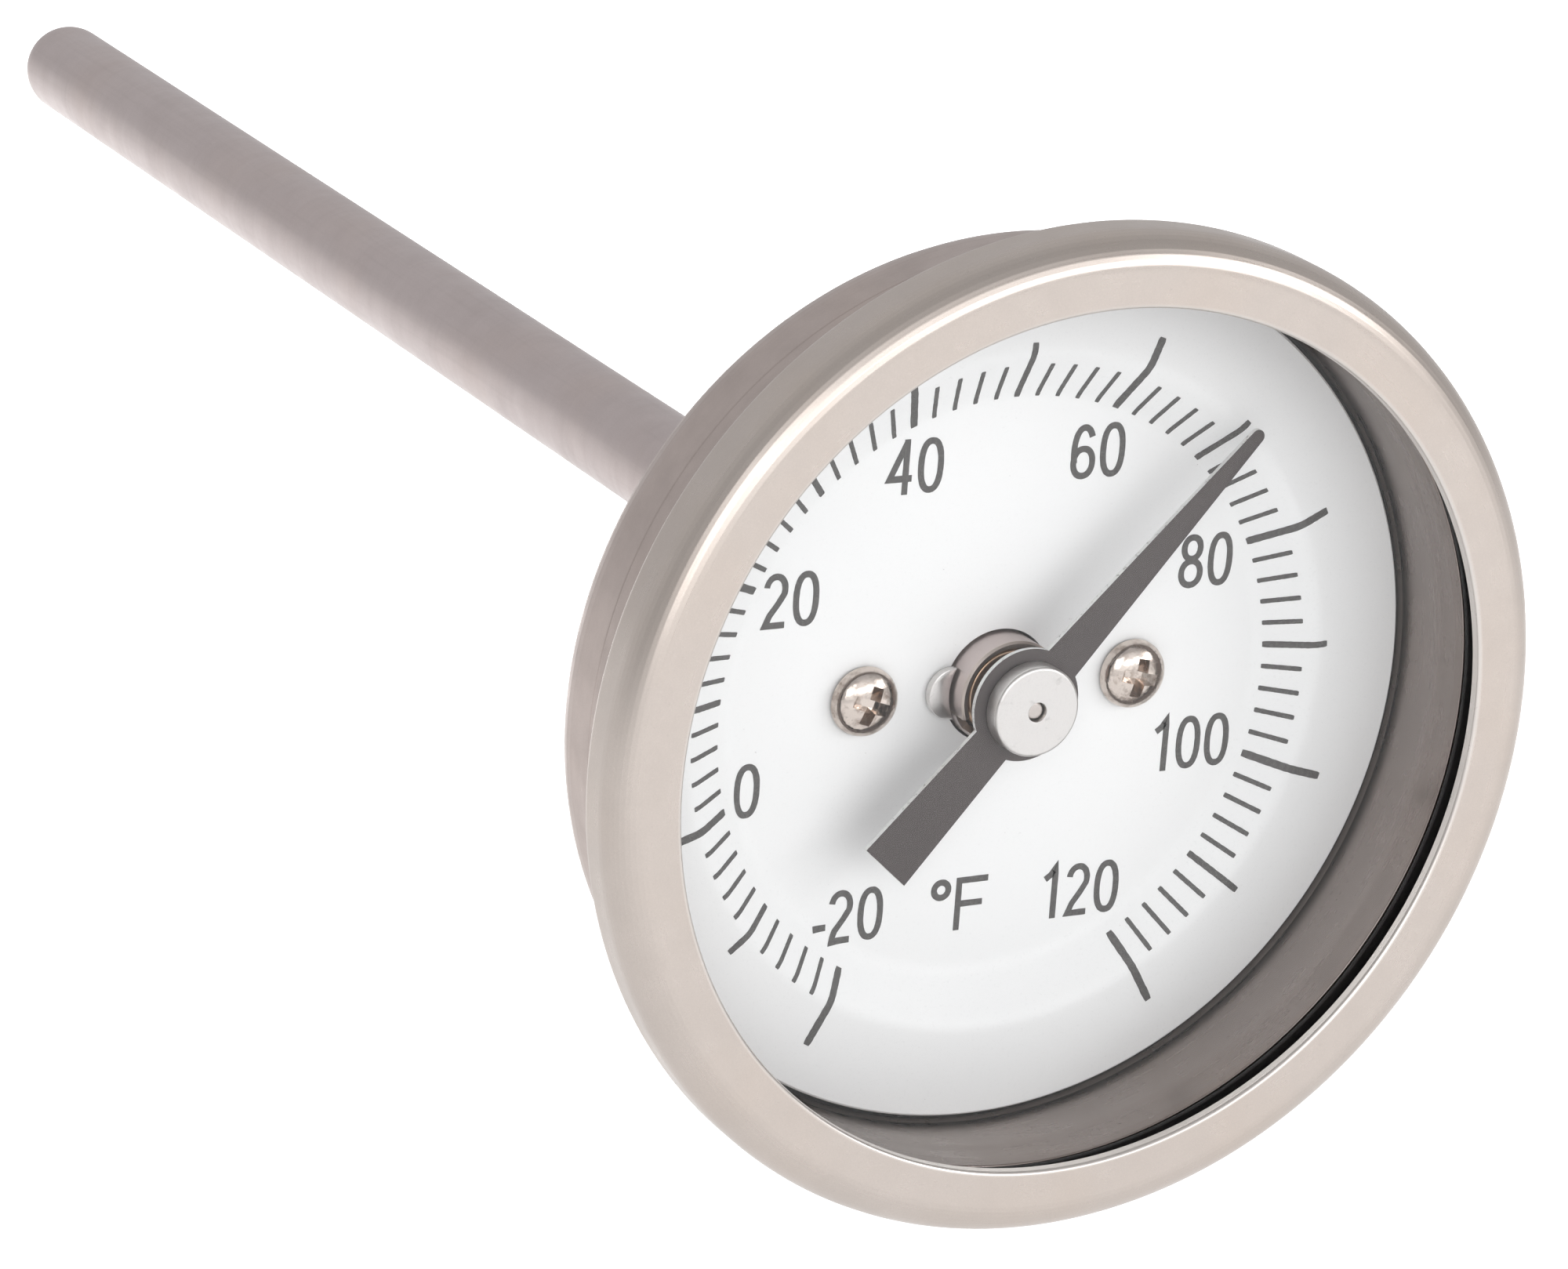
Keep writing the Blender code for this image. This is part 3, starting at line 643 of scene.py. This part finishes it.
def dial_depth(radius):
    """Depth of the printed surface at a radius, with the ramp's soft bends."""
    share = (radius - DIAL_RAMP_START) / (DIAL_RAMP_END - DIAL_RAMP_START)
    bend = 0.16
    if share <= -bend:
        drop = 0.0
    elif share < bend:
        drop = (share + bend) ** 2 / (4.0 * bend)
    elif share <= 1.0 - bend:
        drop = share
    elif share < 1.0 + bend:
        drop = 1.0 - (1.0 + bend - share) ** 2 / (4.0 * bend)
    else:
        drop = 1.0
    return DIAL_DEPTH - (DIAL_DEPTH - DIAL_RIM_DEPTH) * drop


def build_dial(materials):
    """Dished plate with soft bends, a bore for the stem and two screw holes."""
    width = DIAL_RAMP_END - DIAL_RAMP_START
    first = DIAL_RAMP_START - 0.2 * width
    last = DIAL_RAMP_END + 0.2 * width
    steps = 40
    radii = [first + (last - first) * step / steps for step in range(steps + 1)]
    radii = [STEM_RADIUS + GAP, 6.0, 9.0, 12.0] + radii + [22.5, DIAL_RADIUS - 0.12]
    top = [(radius, dial_depth(radius)) for radius in radii]
    edge = [(DIAL_RADIUS, DIAL_RIM_DEPTH + 0.12), (DIAL_RADIUS, DIAL_RIM_DEPTH + DIAL_SHEET)]
    under = [(radius, depth + DIAL_SHEET) for radius, depth in reversed(top)]
    piece = turned("dial_plate_enamelled", top + edge + under, HEAD_SIDES, [materials["enamel"]])
    for side in (-1.0, 1.0):
        hole = [(0.0, DIAL_DEPTH - 1.0), (1.05, DIAL_DEPTH - 1.0),
                (1.05, DIAL_DEPTH + 1.5), (0.0, DIAL_DEPTH + 1.5)]
        cut(piece, turned("hole_cutter", hole, 32, [], side * SCREW_X))
    return attach(piece, "housing", "white_enamel", "dial_plate")


# --------------------------------------------------------------- dial print

PRINT_SHIFT = (-0.31, -0.42)                    # the print sits a little off the axis
NUMERAL_SHIFT = (-0.31, -0.19)
TICK_INNER_END = 17.4
LONG_TICKS_CLOCK = -50.0                        # marks reach further in on this side
INK_HEIGHT = 0.018
INK_SINK = 0.012


def add_strip(builder, sections, closed=False):
    """Strip through cross-sections of four corners each: a closed loop, or capped."""
    rings = [[builder.verts.new(corner) for corner in section] for section in sections]
    for first, second in zip(rings, rings[1:] + (rings[:1] if closed else [])):
        for index in range(4):
            after = (index + 1) % 4
            builder.faces.new((first[index], first[after], second[after], second[index]))
    if not closed:
        builder.faces.new(rings[0])
        builder.faces.new(list(reversed(rings[-1])))


def build_ticks(materials):
    """One strip for every 2 degrees, lying on the ramp and the rim."""
    random.seed(7)
    builder = bmesh.new()
    for reading in range(-20, 121, 2):
        if reading % 20 == 0:
            outer_end, width = 22.0, 0.46
        elif reading % 10 == 0:
            outer_end, width = 20.75, 0.38
        else:
            outer_end, width = 19.4, 0.28
        clock = (reading - TOP_READING) * DEGREES_PER_FAHRENHEIT
        towards_long = max(0.0, math.cos(math.radians(clock - LONG_TICKS_CLOCK)))
        inner_end = TICK_INNER_END - 0.3 * towards_long
        out_x, out_z = clock_direction(clock)
        steps = 24
        sections = []
        for step in range(steps + 1):
            radius = inner_end + (outer_end - inner_end) * step / steps
            half = width / 2.0 * (1.0 + random.uniform(-0.06, 0.06))
            if step in (0, steps):
                half *= 0.82
            x, z = out_x * radius + PRINT_SHIFT[0], out_z * radius + PRINT_SHIFT[1]
            surface = dial_depth(math.hypot(x, z))
            side_x, side_z = out_z * half, -out_x * half
            top, bottom = surface - INK_HEIGHT, surface + INK_SINK
            sections.append([(x - side_x, top, z - side_z), (x + side_x, top, z + side_z),
                             (x + side_x, bottom, z + side_z), (x - side_x, bottom, z - side_z)])
        add_strip(builder, sections)
    piece = finish_mesh("dial_scale_marks", builder, 32.0, [materials["ink"]])
    return attach(piece, "housing", None)


def oval(centre_x, centre_z, half_x, half_z, start, end, steps, power=2.0):
    """Points on a superellipse, with angles anticlockwise from the right."""
    points = []
    for step in range(steps + 1):
        angle = math.radians(start + (end - start) * step / steps)
        cosine, sine = math.cos(angle), math.sin(angle)
        x = math.copysign(abs(cosine) ** (2.0 / power), cosine)
        z = math.copysign(abs(sine) ** (2.0 / power), sine)
        points.append((centre_x + half_x * x, centre_z + half_z * z))
    return points


def glyph_strokes(symbol):
    """Centre lines of a character in units of its height: (points, closed)."""
    if symbol == "0":
        return [(oval(0.25, 0.5, 0.1925, 0.4425, 0, 360, 56, 2.35), True)]
    if symbol == "8":
        return [(oval(0.25, 0.745, 0.165, 0.2, 0, 360, 40, 2.1), True),
                (oval(0.25, 0.28, 0.1925, 0.2225, 0, 360, 44, 2.1), True)]
    if symbol == "6":
        return [(oval(0.255, 0.305, 0.19, 0.2475, 0, 360, 44, 2.15), True),
                (oval(0.255, 0.5, 0.19, 0.4425, 35, 205, 30, 2.2), False)]
    if symbol == "2":
        bow = oval(0.245, 0.71, 0.18, 0.2325, 170, -22, 30, 2.1)
        return [(bow + [(0.30, 0.44), (0.15, 0.24), (0.072, 0.0575), (0.45, 0.0575)], False)]
    if symbol == "4":
        return [([(0.355, 1.0), (0.355, 0.0)], False),
                ([(0.345, 0.93), (0.045, 0.29), (0.48, 0.29)], False)]
    if symbol == "1":
        return [([(0.12, 0.765), (0.24, 0.85), (0.325, 0.985), (0.325, 0.0)], False)]
    if symbol == "F":
        return [([(0.06, 0.0), (0.06, 0.9425), (0.64, 0.9425)], False),
                ([(0.06, 0.5), (0.55, 0.5)], False)]
    if symbol == "o":
        return [(oval(0.2, 0.80, 0.145, 0.145, 0, 360, 32), True)]
    return [([(0.0, 0.33), (0.27, 0.33)], False)]


ADVANCE = {"1": 0.56, "-": 0.31, "o": 0.50, "F": 0.70}
DIGIT_ADVANCE = 0.593
DIGIT_WIDTH = 0.5
STROKE = 0.118


def ribbon_sections(points, closed, half, lift):
    """Left and right edges of a stroke, with mitred corners."""
    count = len(points)
    sections = []
    for index in range(count):
        here = Vector(points[index])
        before = Vector(points[index - 1]) if closed or index else None
        after = Vector(points[(index + 1) % count]) if closed or index < count - 1 else None
        incoming = (here - before).normalized() if before is not None else None
        outgoing = (after - here).normalized() if after is not None else None
        incoming = incoming or outgoing
        outgoing = outgoing or incoming
        tangent = (incoming + outgoing).normalized()
        normal = Vector((-tangent.y, tangent.x))
        stretch = 1.0 / max(0.45, normal.dot(Vector((-incoming.y, incoming.x))))
        reach = half * stretch * (1.0 + random.uniform(-0.035, 0.035))
        left, right = here - normal * reach, here + normal * reach
        top, bottom = -INK_HEIGHT - lift, INK_SINK
        sections.append([(left.x, top, left.y), (right.x, top, right.y),
                         (right.x, bottom, right.y), (left.x, bottom, left.y)])
    return sections


def add_text(builder, text, centre_x, centre_z, height):
    """Stroke characters centred on a point of the flat centre of the dial."""
    widths = [ADVANCE.get(symbol, DIGIT_ADVANCE) for symbol in text]
    last = widths[-1] if text[-1] in ADVANCE else DIGIT_WIDTH
    total = sum(widths[:-1]) + last
    pen = centre_x - total * height / 2.0
    base = centre_z - height / 2.0
    for symbol, width in zip(text, widths):
        for order, (points, closed) in enumerate(glyph_strokes(symbol)):
            placed = [(pen + x * height, base + z * height) for x, z in points]
            placed = subdivided(placed, 0.4)
            if closed:
                placed = placed[:-1]
            sections = ribbon_sections(placed, closed, STROKE * height / 2.0, 0.002 * order)
            sections = [[(x, dial_depth(math.hypot(x, z)) + y, z) for x, y, z in section]
                        for section in sections]
            add_strip(builder, sections, closed)
        pen += width * height


NUMERAL_HEIGHT = 3.16
LABELS = (("60", 5.52, 13.44), ("40", -5.92, 13.44), ("80", 13.18, 6.41), ("20", -13.04, 6.41),
          ("0", -14.93, -4.46), ("100", 13.18, -4.46), ("-20", -8.04, -12.58),
          ("120", 6.75, -12.67), ("oF", -0.92, -12.67))


def build_numerals(materials):
    random.seed(11)
    builder = bmesh.new()
    for text, centre_x, centre_z in LABELS:
        add_text(builder, text, centre_x + NUMERAL_SHIFT[0], centre_z + NUMERAL_SHIFT[1],
                 NUMERAL_HEIGHT)
    piece = finish_mesh("dial_numerals", builder, 32.0, [materials["ink"]])
    return attach(piece, "housing", None)


# ------------------------------------------------------------ small pieces

def build_screw(name, offset_x, twist, materials):
    """Domed head with a tapered cross recess, and a plain shank."""
    seat = DIAL_DEPTH - GAP
    head = 2.0
    height = seat - SCREW_FRONT
    dome = []
    steps = 14
    for step in range(steps + 1):
        share = step / steps
        dome.append((head * math.sin(share * math.pi / 2.0) * 0.985,
                     SCREW_FRONT + (height - 0.28) * (1.0 - math.cos(share * math.pi / 2.0))))
    dome[0] = (0.0, SCREW_FRONT)
    profile = dome + [(head, seat - 0.22), (head, seat - 0.05), (head - 0.05, seat),
                      (0.9, seat), (0.9, SCREW_REAR - 0.2), (0.7, SCREW_REAR), (0.0, SCREW_REAR)]
    piece = turned(name + "_polished", profile, SMALL_SIDES, [materials["nickel"]], offset_x)
    depth, mouth, root = 0.85, 0.36, 0.22
    for quarter in (0.0, 90.0):
        builder = bmesh.new()
        rows = []
        for reach, half, level in ((1.34, mouth, SCREW_FRONT - 0.4),
                                   (1.22, mouth, SCREW_FRONT + 0.05),
                                   (0.55, root, SCREW_FRONT + depth)):
            rows.append([builder.verts.new((x, level, z)) for x, z in (
                (-reach, -half), (reach, -half), (reach, half), (-reach, half))])
        for first, second in zip(rows, rows[1:]):
            for index in range(4):
                after = (index + 1) % 4
                builder.faces.new((first[index], first[after], second[after], second[index]))
        builder.faces.new(list(reversed(rows[0])))
        builder.faces.new(rows[-1])
        turn = Matrix.Rotation(math.radians(twist + quarter), 4, "Y")
        bmesh.ops.transform(builder, matrix=turn, verts=builder.verts)
        bmesh.ops.translate(builder, verts=builder.verts, vec=(offset_x, 0.0, 0.0))
        cut(piece, finish_mesh("recess_cutter", builder))
    return attach(piece, "housing", "nickel_plate", name)


def build_stem(materials):
    """Drawn tube with a spun tip; its slotted front end shows through the dial."""
    dome_centre = STEM_TIP - STEM_RADIUS
    steps = 16
    inside = []
    outside = []
    for step in range(steps + 1):
        angle = math.radians(90.0 * step / steps)
        outside.append((STEM_RADIUS * math.cos(angle),
                        dome_centre + STEM_RADIUS * math.sin(angle)))
        inside.append((STEM_BORE * math.cos(angle), dome_centre + STEM_BORE * math.sin(angle)))
    outside[-1] = (0.0, STEM_TIP)
    inside[-1] = (0.0, dome_centre + STEM_BORE)
    mouth = [(STEM_BORE, STEM_FRONT + 0.12), (STEM_BORE + 0.08, STEM_FRONT),
             (STEM_RADIUS - 0.12, STEM_FRONT), (STEM_RADIUS, STEM_FRONT + 0.12)]
    wall = subdivided([mouth[-1], outside[0]], 6.0)[1:-1]
    profile = list(reversed(inside)) + mouth + wall + outside
    builder = grid_mesh(profile, STEM_SIDES)
    piece = finish_mesh("stem_tube_drawn", builder, 32.0,
                        [materials["stem"], materials["ground"]])
    out_x, out_z = clock_direction(STEM_SLOT_CLOCK)
    half_width = 0.45
    outline = [(end * 4.0 * out_x - side * half_width * out_z,
                end * 4.0 * out_z + side * half_width * out_x)
               for end, side in ((-1, -1), (1, -1), (1, 1), (-1, 1))]
    cut(piece, finish_mesh("slot_cutter", prism_builder(outline, STEM_FRONT - 1.0,
                                                        STEM_FRONT + 1.0)))
    front_limit = HEAD_FRONT + (DIAL_DEPTH + 1.0) * MM
    for face in piece.data.polygons:
        if face.center.y < front_limit:
            face.material_index = 1
    return attach(piece, "housing", "stem_steel", "stem_tube")


def build_ear(materials):
    """Half-round ear beside the tube."""
    seat = DIAL_DEPTH - GAP
    outline = [(EAR_CENTRE + EAR_RADIUS * math.cos(math.radians(angle)),
                EAR_RADIUS * math.sin(math.radians(angle)))
               for angle in range(90, 271, 6)]
    inner = STEM_RADIUS + GAP
    inner_angle = math.degrees(math.asin(EAR_RADIUS / inner))
    steps = 12
    for step in range(steps + 1):
        angle = math.radians(180.0 + inner_angle - 2.0 * inner_angle * step / steps)
        outline.append((inner * math.cos(angle), inner * math.sin(angle)))
    builder = prism_builder(outline, seat - 0.5, seat, 0.08)
    piece = finish_mesh("stem_ear_rounded", builder, 32.0, [materials["aluminium"]])
    return attach(piece, "housing", "stem_steel", "stem_ear")


def thread_profile():
    """Depths along the fitting with fine steps where the thread and chamfers are."""
    bore = STEM_RADIUS + GAP
    corner = HEX_FLATS / 2.0 / math.cos(math.radians(30.0))
    small = THREAD_RADIUS - (FITTING_REAR - HEX_REAR) * THREAD_TAPER
    points = fillet([(bore, FITTING_FRONT, 0.1), (SPIGOT_RADIUS, FITTING_FRONT, 0.3),
                     (SPIGOT_RADIUS, HEX_FRONT, 0.0)], steps=5)
    points += [(corner - 0.9, HEX_FRONT), (corner - 0.6, HEX_FRONT + 0.12)]
    points += [(corner - 0.3, HEX_FRONT + 0.26), (corner, HEX_FRONT + 0.42)]
    points += [(corner, HEX_FRONT + 3.0), (corner, HEX_REAR - 3.0), (corner, HEX_REAR - 0.42)]
    points += [(corner - 0.3, HEX_REAR - 0.26), (corner - 0.6, HEX_REAR - 0.12)]
    points += [(corner - 0.9, HEX_REAR), (6.2, HEX_REAR), (6.0, HEX_REAR + 0.1)]
    start, end = HEX_REAR + 0.5, FITTING_REAR - 0.35
    count = 190
    for step in range(count + 1):
        depth = start + (end - start) * step / count
        points.append((THREAD_RADIUS - (depth - HEX_REAR) * THREAD_TAPER, depth))
    points += [(small - 1.25, FITTING_REAR), (bore + 0.2, FITTING_REAR), (bore, FITTING_REAR - 0.2)]
    return points


def fitting_radius(radius, depth, angle):
    """Hexagon flats and a helical pipe thread over a turned profile."""
    if HEX_FRONT < depth < HEX_REAR and radius > THREAD_RADIUS:
        sector = math.radians(60.0)
        off_flat = angle - round(angle / sector) * sector
        return min(radius, HEX_FLATS / 2.0 / math.cos(off_flat))
    if depth in (HEX_FRONT, HEX_REAR) and radius > THREAD_RADIUS:
        return min(radius, HEX_FLATS / 2.0)
    if HEX_REAR + 0.4 < depth < FITTING_REAR - 0.3 and radius > SPIGOT_RADIUS + 0.2:
        turn = (depth / THREAD_PITCH + angle / math.tau) % 1.0
        groove = 1.0 - abs(2.0 * turn - 1.0)
        groove = min(1.0, max(0.0, (groove - 0.06) / 0.88))
        fade_in = min(1.0, (depth - HEX_REAR - 0.4) / 0.6)
        fade_out = min(1.0, (FITTING_REAR - 0.3 - depth) / 1.0)
        cut_depth = 0.98 * groove
        lead = 0.75 * (1.0 - fade_out) + 0.75 * (1.0 - fade_in)
        return radius - max(cut_depth, lead)
    return radius


def build_fitting(materials):
    builder = grid_mesh(thread_profile(), 192, fitting_radius)
    piece = finish_mesh("threaded_fitting_cut", builder, 30.0, [materials["fitting"]])
    attach(piece, "housing", "stem_steel", "threaded_fitting")
    bore = SPIGOT_RADIUS + GAP
    profile = fillet([(bore, SEAL_FRONT, 0.12), (SEAL_RADIUS, SEAL_FRONT, 0.2),
                      (SEAL_RADIUS, SEAL_REAR, 0.2),
                      (bore, SEAL_REAR, 0.12)], steps=4)
    seal = turned("case_seal_pressed", profile, STEM_SIDES, [materials["fibre"]])
    attach(seal, "housing", "fibre_seal", "case_seal")


def build_bushing(materials):
    outer = STEM_BORE - GAP
    front = STEM_FRONT + 0.25
    rear = STEM_FRONT + 5.0
    profile = fillet([(SHAFT_RADIUS + 0.1, front, 0.08), (outer, front, 0.18),
                      (outer, rear, 0.1), (SHAFT_RADIUS + 0.1, rear, 0.08)], steps=4)
    piece = turned("front_bushing_turned", profile, SMALL_SIDES, [materials["brass"]])
    attach(piece, "housing", "bright_brass", "front_bushing")


# ------------------------------------------------------------ pointer group

def pointer_outline():
    """Blade from above with the arm at 12 o'clock: disc, arm, round tip, tail."""
    disc, arm_half, neck_half = 3.28, 1.25, 1.375
    tip_radius, tip_half, tail_radius, tail_half = 20.1, 0.42, 11.9, 1.745
    right = []
    for step in range(9):
        angle = math.radians(90.0 - 90.0 * step / 8)
        right.append((tip_half * math.cos(angle), tip_radius - tip_half
                      + tip_half * math.sin(angle)))
    first = math.degrees(math.asin(arm_half / disc))
    last = 180.0 - math.degrees(math.asin(neck_half / disc))
    steps = 40
    for step in range(steps + 1):
        x, z = clock_direction(first + (last - first) * step / steps)
        right.append((disc * x, disc * z))
    right.append((tail_half, -tail_radius))
    left = [(-x, z) for x, z in reversed(right[1:])]
    return right + left


def build_pointer(materials):
    builder = prism_builder(pointer_outline(), POINTER_FRONT, POINTER_REAR, 0.035)
    turn = Matrix.Rotation(math.radians(POINTER_CLOCK), 4, "Y")
    bmesh.ops.transform(builder, matrix=turn, verts=builder.verts)
    piece = finish_mesh("pointer_blade_painted", builder, 50.0,
                        [materials["paint"], materials["edge"]])
    for face in piece.data.polygons:
        if abs(face.normal.y) < 0.9:
            face.material_index = 1
    bore = [(0.0, POINTER_FRONT - 1.0), (SHAFT_RADIUS + GAP, POINTER_FRONT - 1.0),
            (SHAFT_RADIUS + GAP, POINTER_REAR + 1.0), (0.0, POINTER_REAR + 1.0)]
    cut(piece, turned("bore_cutter", bore, 32, []))
    attach(piece, "pointer", "pointer_paint", "pointer_blade")

    hole = SHAFT_RADIUS + 0.06
    profile = fillet([(hole, CAP_FRONT, 0.05), (CAP_RADIUS, CAP_FRONT, 0.2),
                      (CAP_RADIUS, CAP_REAR, 0.08), (hole, CAP_REAR, 0.05)], steps=6)
    cap = turned("pointer_cap_turned", profile, STEM_SIDES, [materials["aluminium"]])
    attach(cap, "pointer", "turned_aluminium", "pointer_cap")

    profile = fillet([(0.0, SHAFT_FRONT, 0.0), (SHAFT_RADIUS, SHAFT_FRONT, 0.12),
                      (SHAFT_RADIUS, SHAFT_REAR, 0.12), (0.0, SHAFT_REAR, 0.0)], steps=4)
    shaft = turned("pointer_shaft_ground", profile, 48, [materials["fitting"]])
    attach(shaft, "pointer", "stem_steel", "pointer_shaft")

    hub_front, hub_rear = POINTER_REAR + GAP, POINTER_REAR + GAP + 0.75
    profile = fillet([(SHAFT_RADIUS + 0.1, hub_front, 0.05), (1.5, hub_front, 0.08),
                      (1.5, hub_rear, 0.08), (SHAFT_RADIUS + 0.1, hub_rear, 0.05)], steps=3)
    hub = turned("pointer_hub_turned", profile, SMALL_SIDES, [materials["brass"]])
    attach(hub, "pointer", "bright_brass", "pointer_hub")


def attach(piece, body, slot, *nodes):
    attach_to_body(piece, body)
    if nodes:
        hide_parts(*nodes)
    return piece


CARRIED_NODES = {
    "dial_post_left": "brass", "dial_post_right": "brass", "case_nut": "fitting",
    "spring_washer": "nickel", "rear_bushing": "brass", "helix_anchor": "brass",
    "bimetal_helix": "bimetal", "helix_collar": "brass"}


def finish_carried_nodes(materials):
    for name, key in CARRIED_NODES.items():
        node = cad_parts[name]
        node.data.materials.clear()
        node.data.materials.append(materials[key])


# ------------------------------------------------------- stage and lighting

def build_stage():
    builder = bmesh.new()
    corners = ((-1, -1), (1, -1), (1, 1), (-1, 1))
    builder.faces.new([builder.verts.new((x * FLOOR_HALF, y * FLOOR_HALF, FLOOR_HEIGHT))
                       for x, y in corners])
    mesh = bpy.data.meshes.new("floor")
    builder.to_mesh(mesh)
    builder.free()
    floor = bpy.data.objects.new("floor", mesh)
    bpy.context.scene.collection.objects.link(floor)
    material = bpy.data.materials.new("pale_floor")
    material.use_nodes = True
    shader = material.node_tree.nodes["Principled BSDF"]
    shader.inputs["Base Color"].default_value = (0.9, 0.9, 0.9, 1.0)
    shader.inputs["Roughness"].default_value = 0.9
    shader.inputs["Emission Color"].default_value = (1.0, 1.0, 1.0, 1.0)
    shader.inputs["Emission Strength"].default_value = 0.30
    mesh.materials.append(material)


def build_world():
    """Soft studio surround: bright in front of the dial, dimmer behind it."""
    world = bpy.data.worlds.new("studio")
    bpy.context.scene.world = world
    world.use_nodes = True
    tree = world.node_tree
    background = tree.nodes["Background"]
    coordinates = tree.nodes.new("ShaderNodeTexCoord")
    split = tree.nodes.new("ShaderNodeSeparateXYZ")
    ramp = tree.nodes.new("ShaderNodeValToRGB")
    tree.links.new(coordinates.outputs["Generated"], split.inputs[0])
    spread = tree.nodes.new("ShaderNodeMapRange")
    spread.inputs["From Min"].default_value = -1.0
    spread.inputs["From Max"].default_value = 1.0
    tree.links.new(split.outputs["Y"], spread.inputs["Value"])
    tree.links.new(spread.outputs["Result"], ramp.inputs["Fac"])
    ends = ramp.color_ramp.elements
    ends[0].position, ends[1].position = 0.0, 1.0
    ends[0].color = (1.0, 1.0, 1.0, 1.0)
    ends[1].color = (0.46, 0.46, 0.47, 1.0)
    for position, level in ((0.07, 0.86), (0.15, 0.48), (0.26, 0.37), (0.45, 0.38),
                            (0.72, 0.48)):
        stop = ends.new(position)
        stop.color = (level, level, level * 1.01, 1.0)
    tree.links.new(ramp.outputs["Color"], background.inputs["Color"])
    background.inputs["Strength"].default_value = 1.3


def add_softbox(name, direction, distance, width, height, power, target=(0.0, HEAD_FRONT, 0.0)):
    """Area light facing a target, the head if none is given, from a direction."""
    data = bpy.data.lights.new(name, "AREA")
    data.shape = "RECTANGLE"
    data.size = width
    data.size_y = height
    data.energy = power
    lamp = bpy.data.objects.new(name, data)
    towards = Vector(direction).normalized()
    lamp.location = Vector(target) + towards * distance
    lamp.rotation_euler = towards.to_track_quat("Z", "Y").to_euler()
    bpy.context.scene.collection.objects.link(lamp)
    return lamp


def build_lights():
    add_softbox("key_right", (0.70, -0.62, 0.30), 1.0, 0.34, 0.34, 1.35)
    add_softbox("front_band", (0.30, -0.93, 0.24), 1.0, 0.95, 0.20, 1.4)
    add_softbox("fill_left", (-0.45, -0.85, 0.35), 1.0, 0.5, 0.5, 1.25)
    wash = add_softbox("backdrop_wash", (0.0, 0.0, 1.0), 0.8, 0.4, 0.4, 1.3,
                       (0.27, 0.6, FLOOR_HEIGHT))
    wash.data.spread = math.radians(65.0)


def build_camera():
    """Camera at the photograph's angle, a little above the dial's right."""
    heading, pitch, roll = (math.radians(value) for value in CAMERA_TURN)
    level = Vector((math.cos(heading), -math.sin(heading), 0.0))
    ahead = Vector((math.sin(heading) * math.cos(pitch), math.cos(heading) * math.cos(pitch),
                    math.sin(pitch)))
    above = level.cross(ahead)
    right = level * math.cos(roll) + above * math.sin(roll)
    up = right.cross(ahead)
    data = bpy.data.cameras.new("camera")
    data.sensor_width = 36.0
    data.sensor_fit = "HORIZONTAL"
    data.lens = CAMERA_LENS
    data.clip_start = 0.01
    data.clip_end = 50.0
    camera = bpy.data.objects.new("camera", data)
    turn = Matrix((right, up, -ahead)).transposed()
    camera.matrix_world = Matrix.Translation(CAMERA_PLACE) @ turn.to_4x4()
    bpy.context.scene.collection.objects.link(camera)
    bpy.context.scene.camera = camera


def main():
    build_camera()
    build_stage()
    build_world()
    build_lights()
    bpy.context.scene.view_settings.view_transform = "Standard"
    materials = make_materials()
    build_bezel(materials)
    build_gasket_and_glass(materials)
    build_case(materials)
    build_dial(materials)
    build_ticks(materials)
    build_numerals(materials)
    build_screw("dial_screw_left", -SCREW_X, 20.0, materials)
    build_screw("dial_screw_right", SCREW_X, 12.0, materials)
    build_stem(materials)
    build_ear(materials)
    build_fitting(materials)
    build_bushing(materials)
    build_pointer(materials)
    finish_carried_nodes(materials)


main()
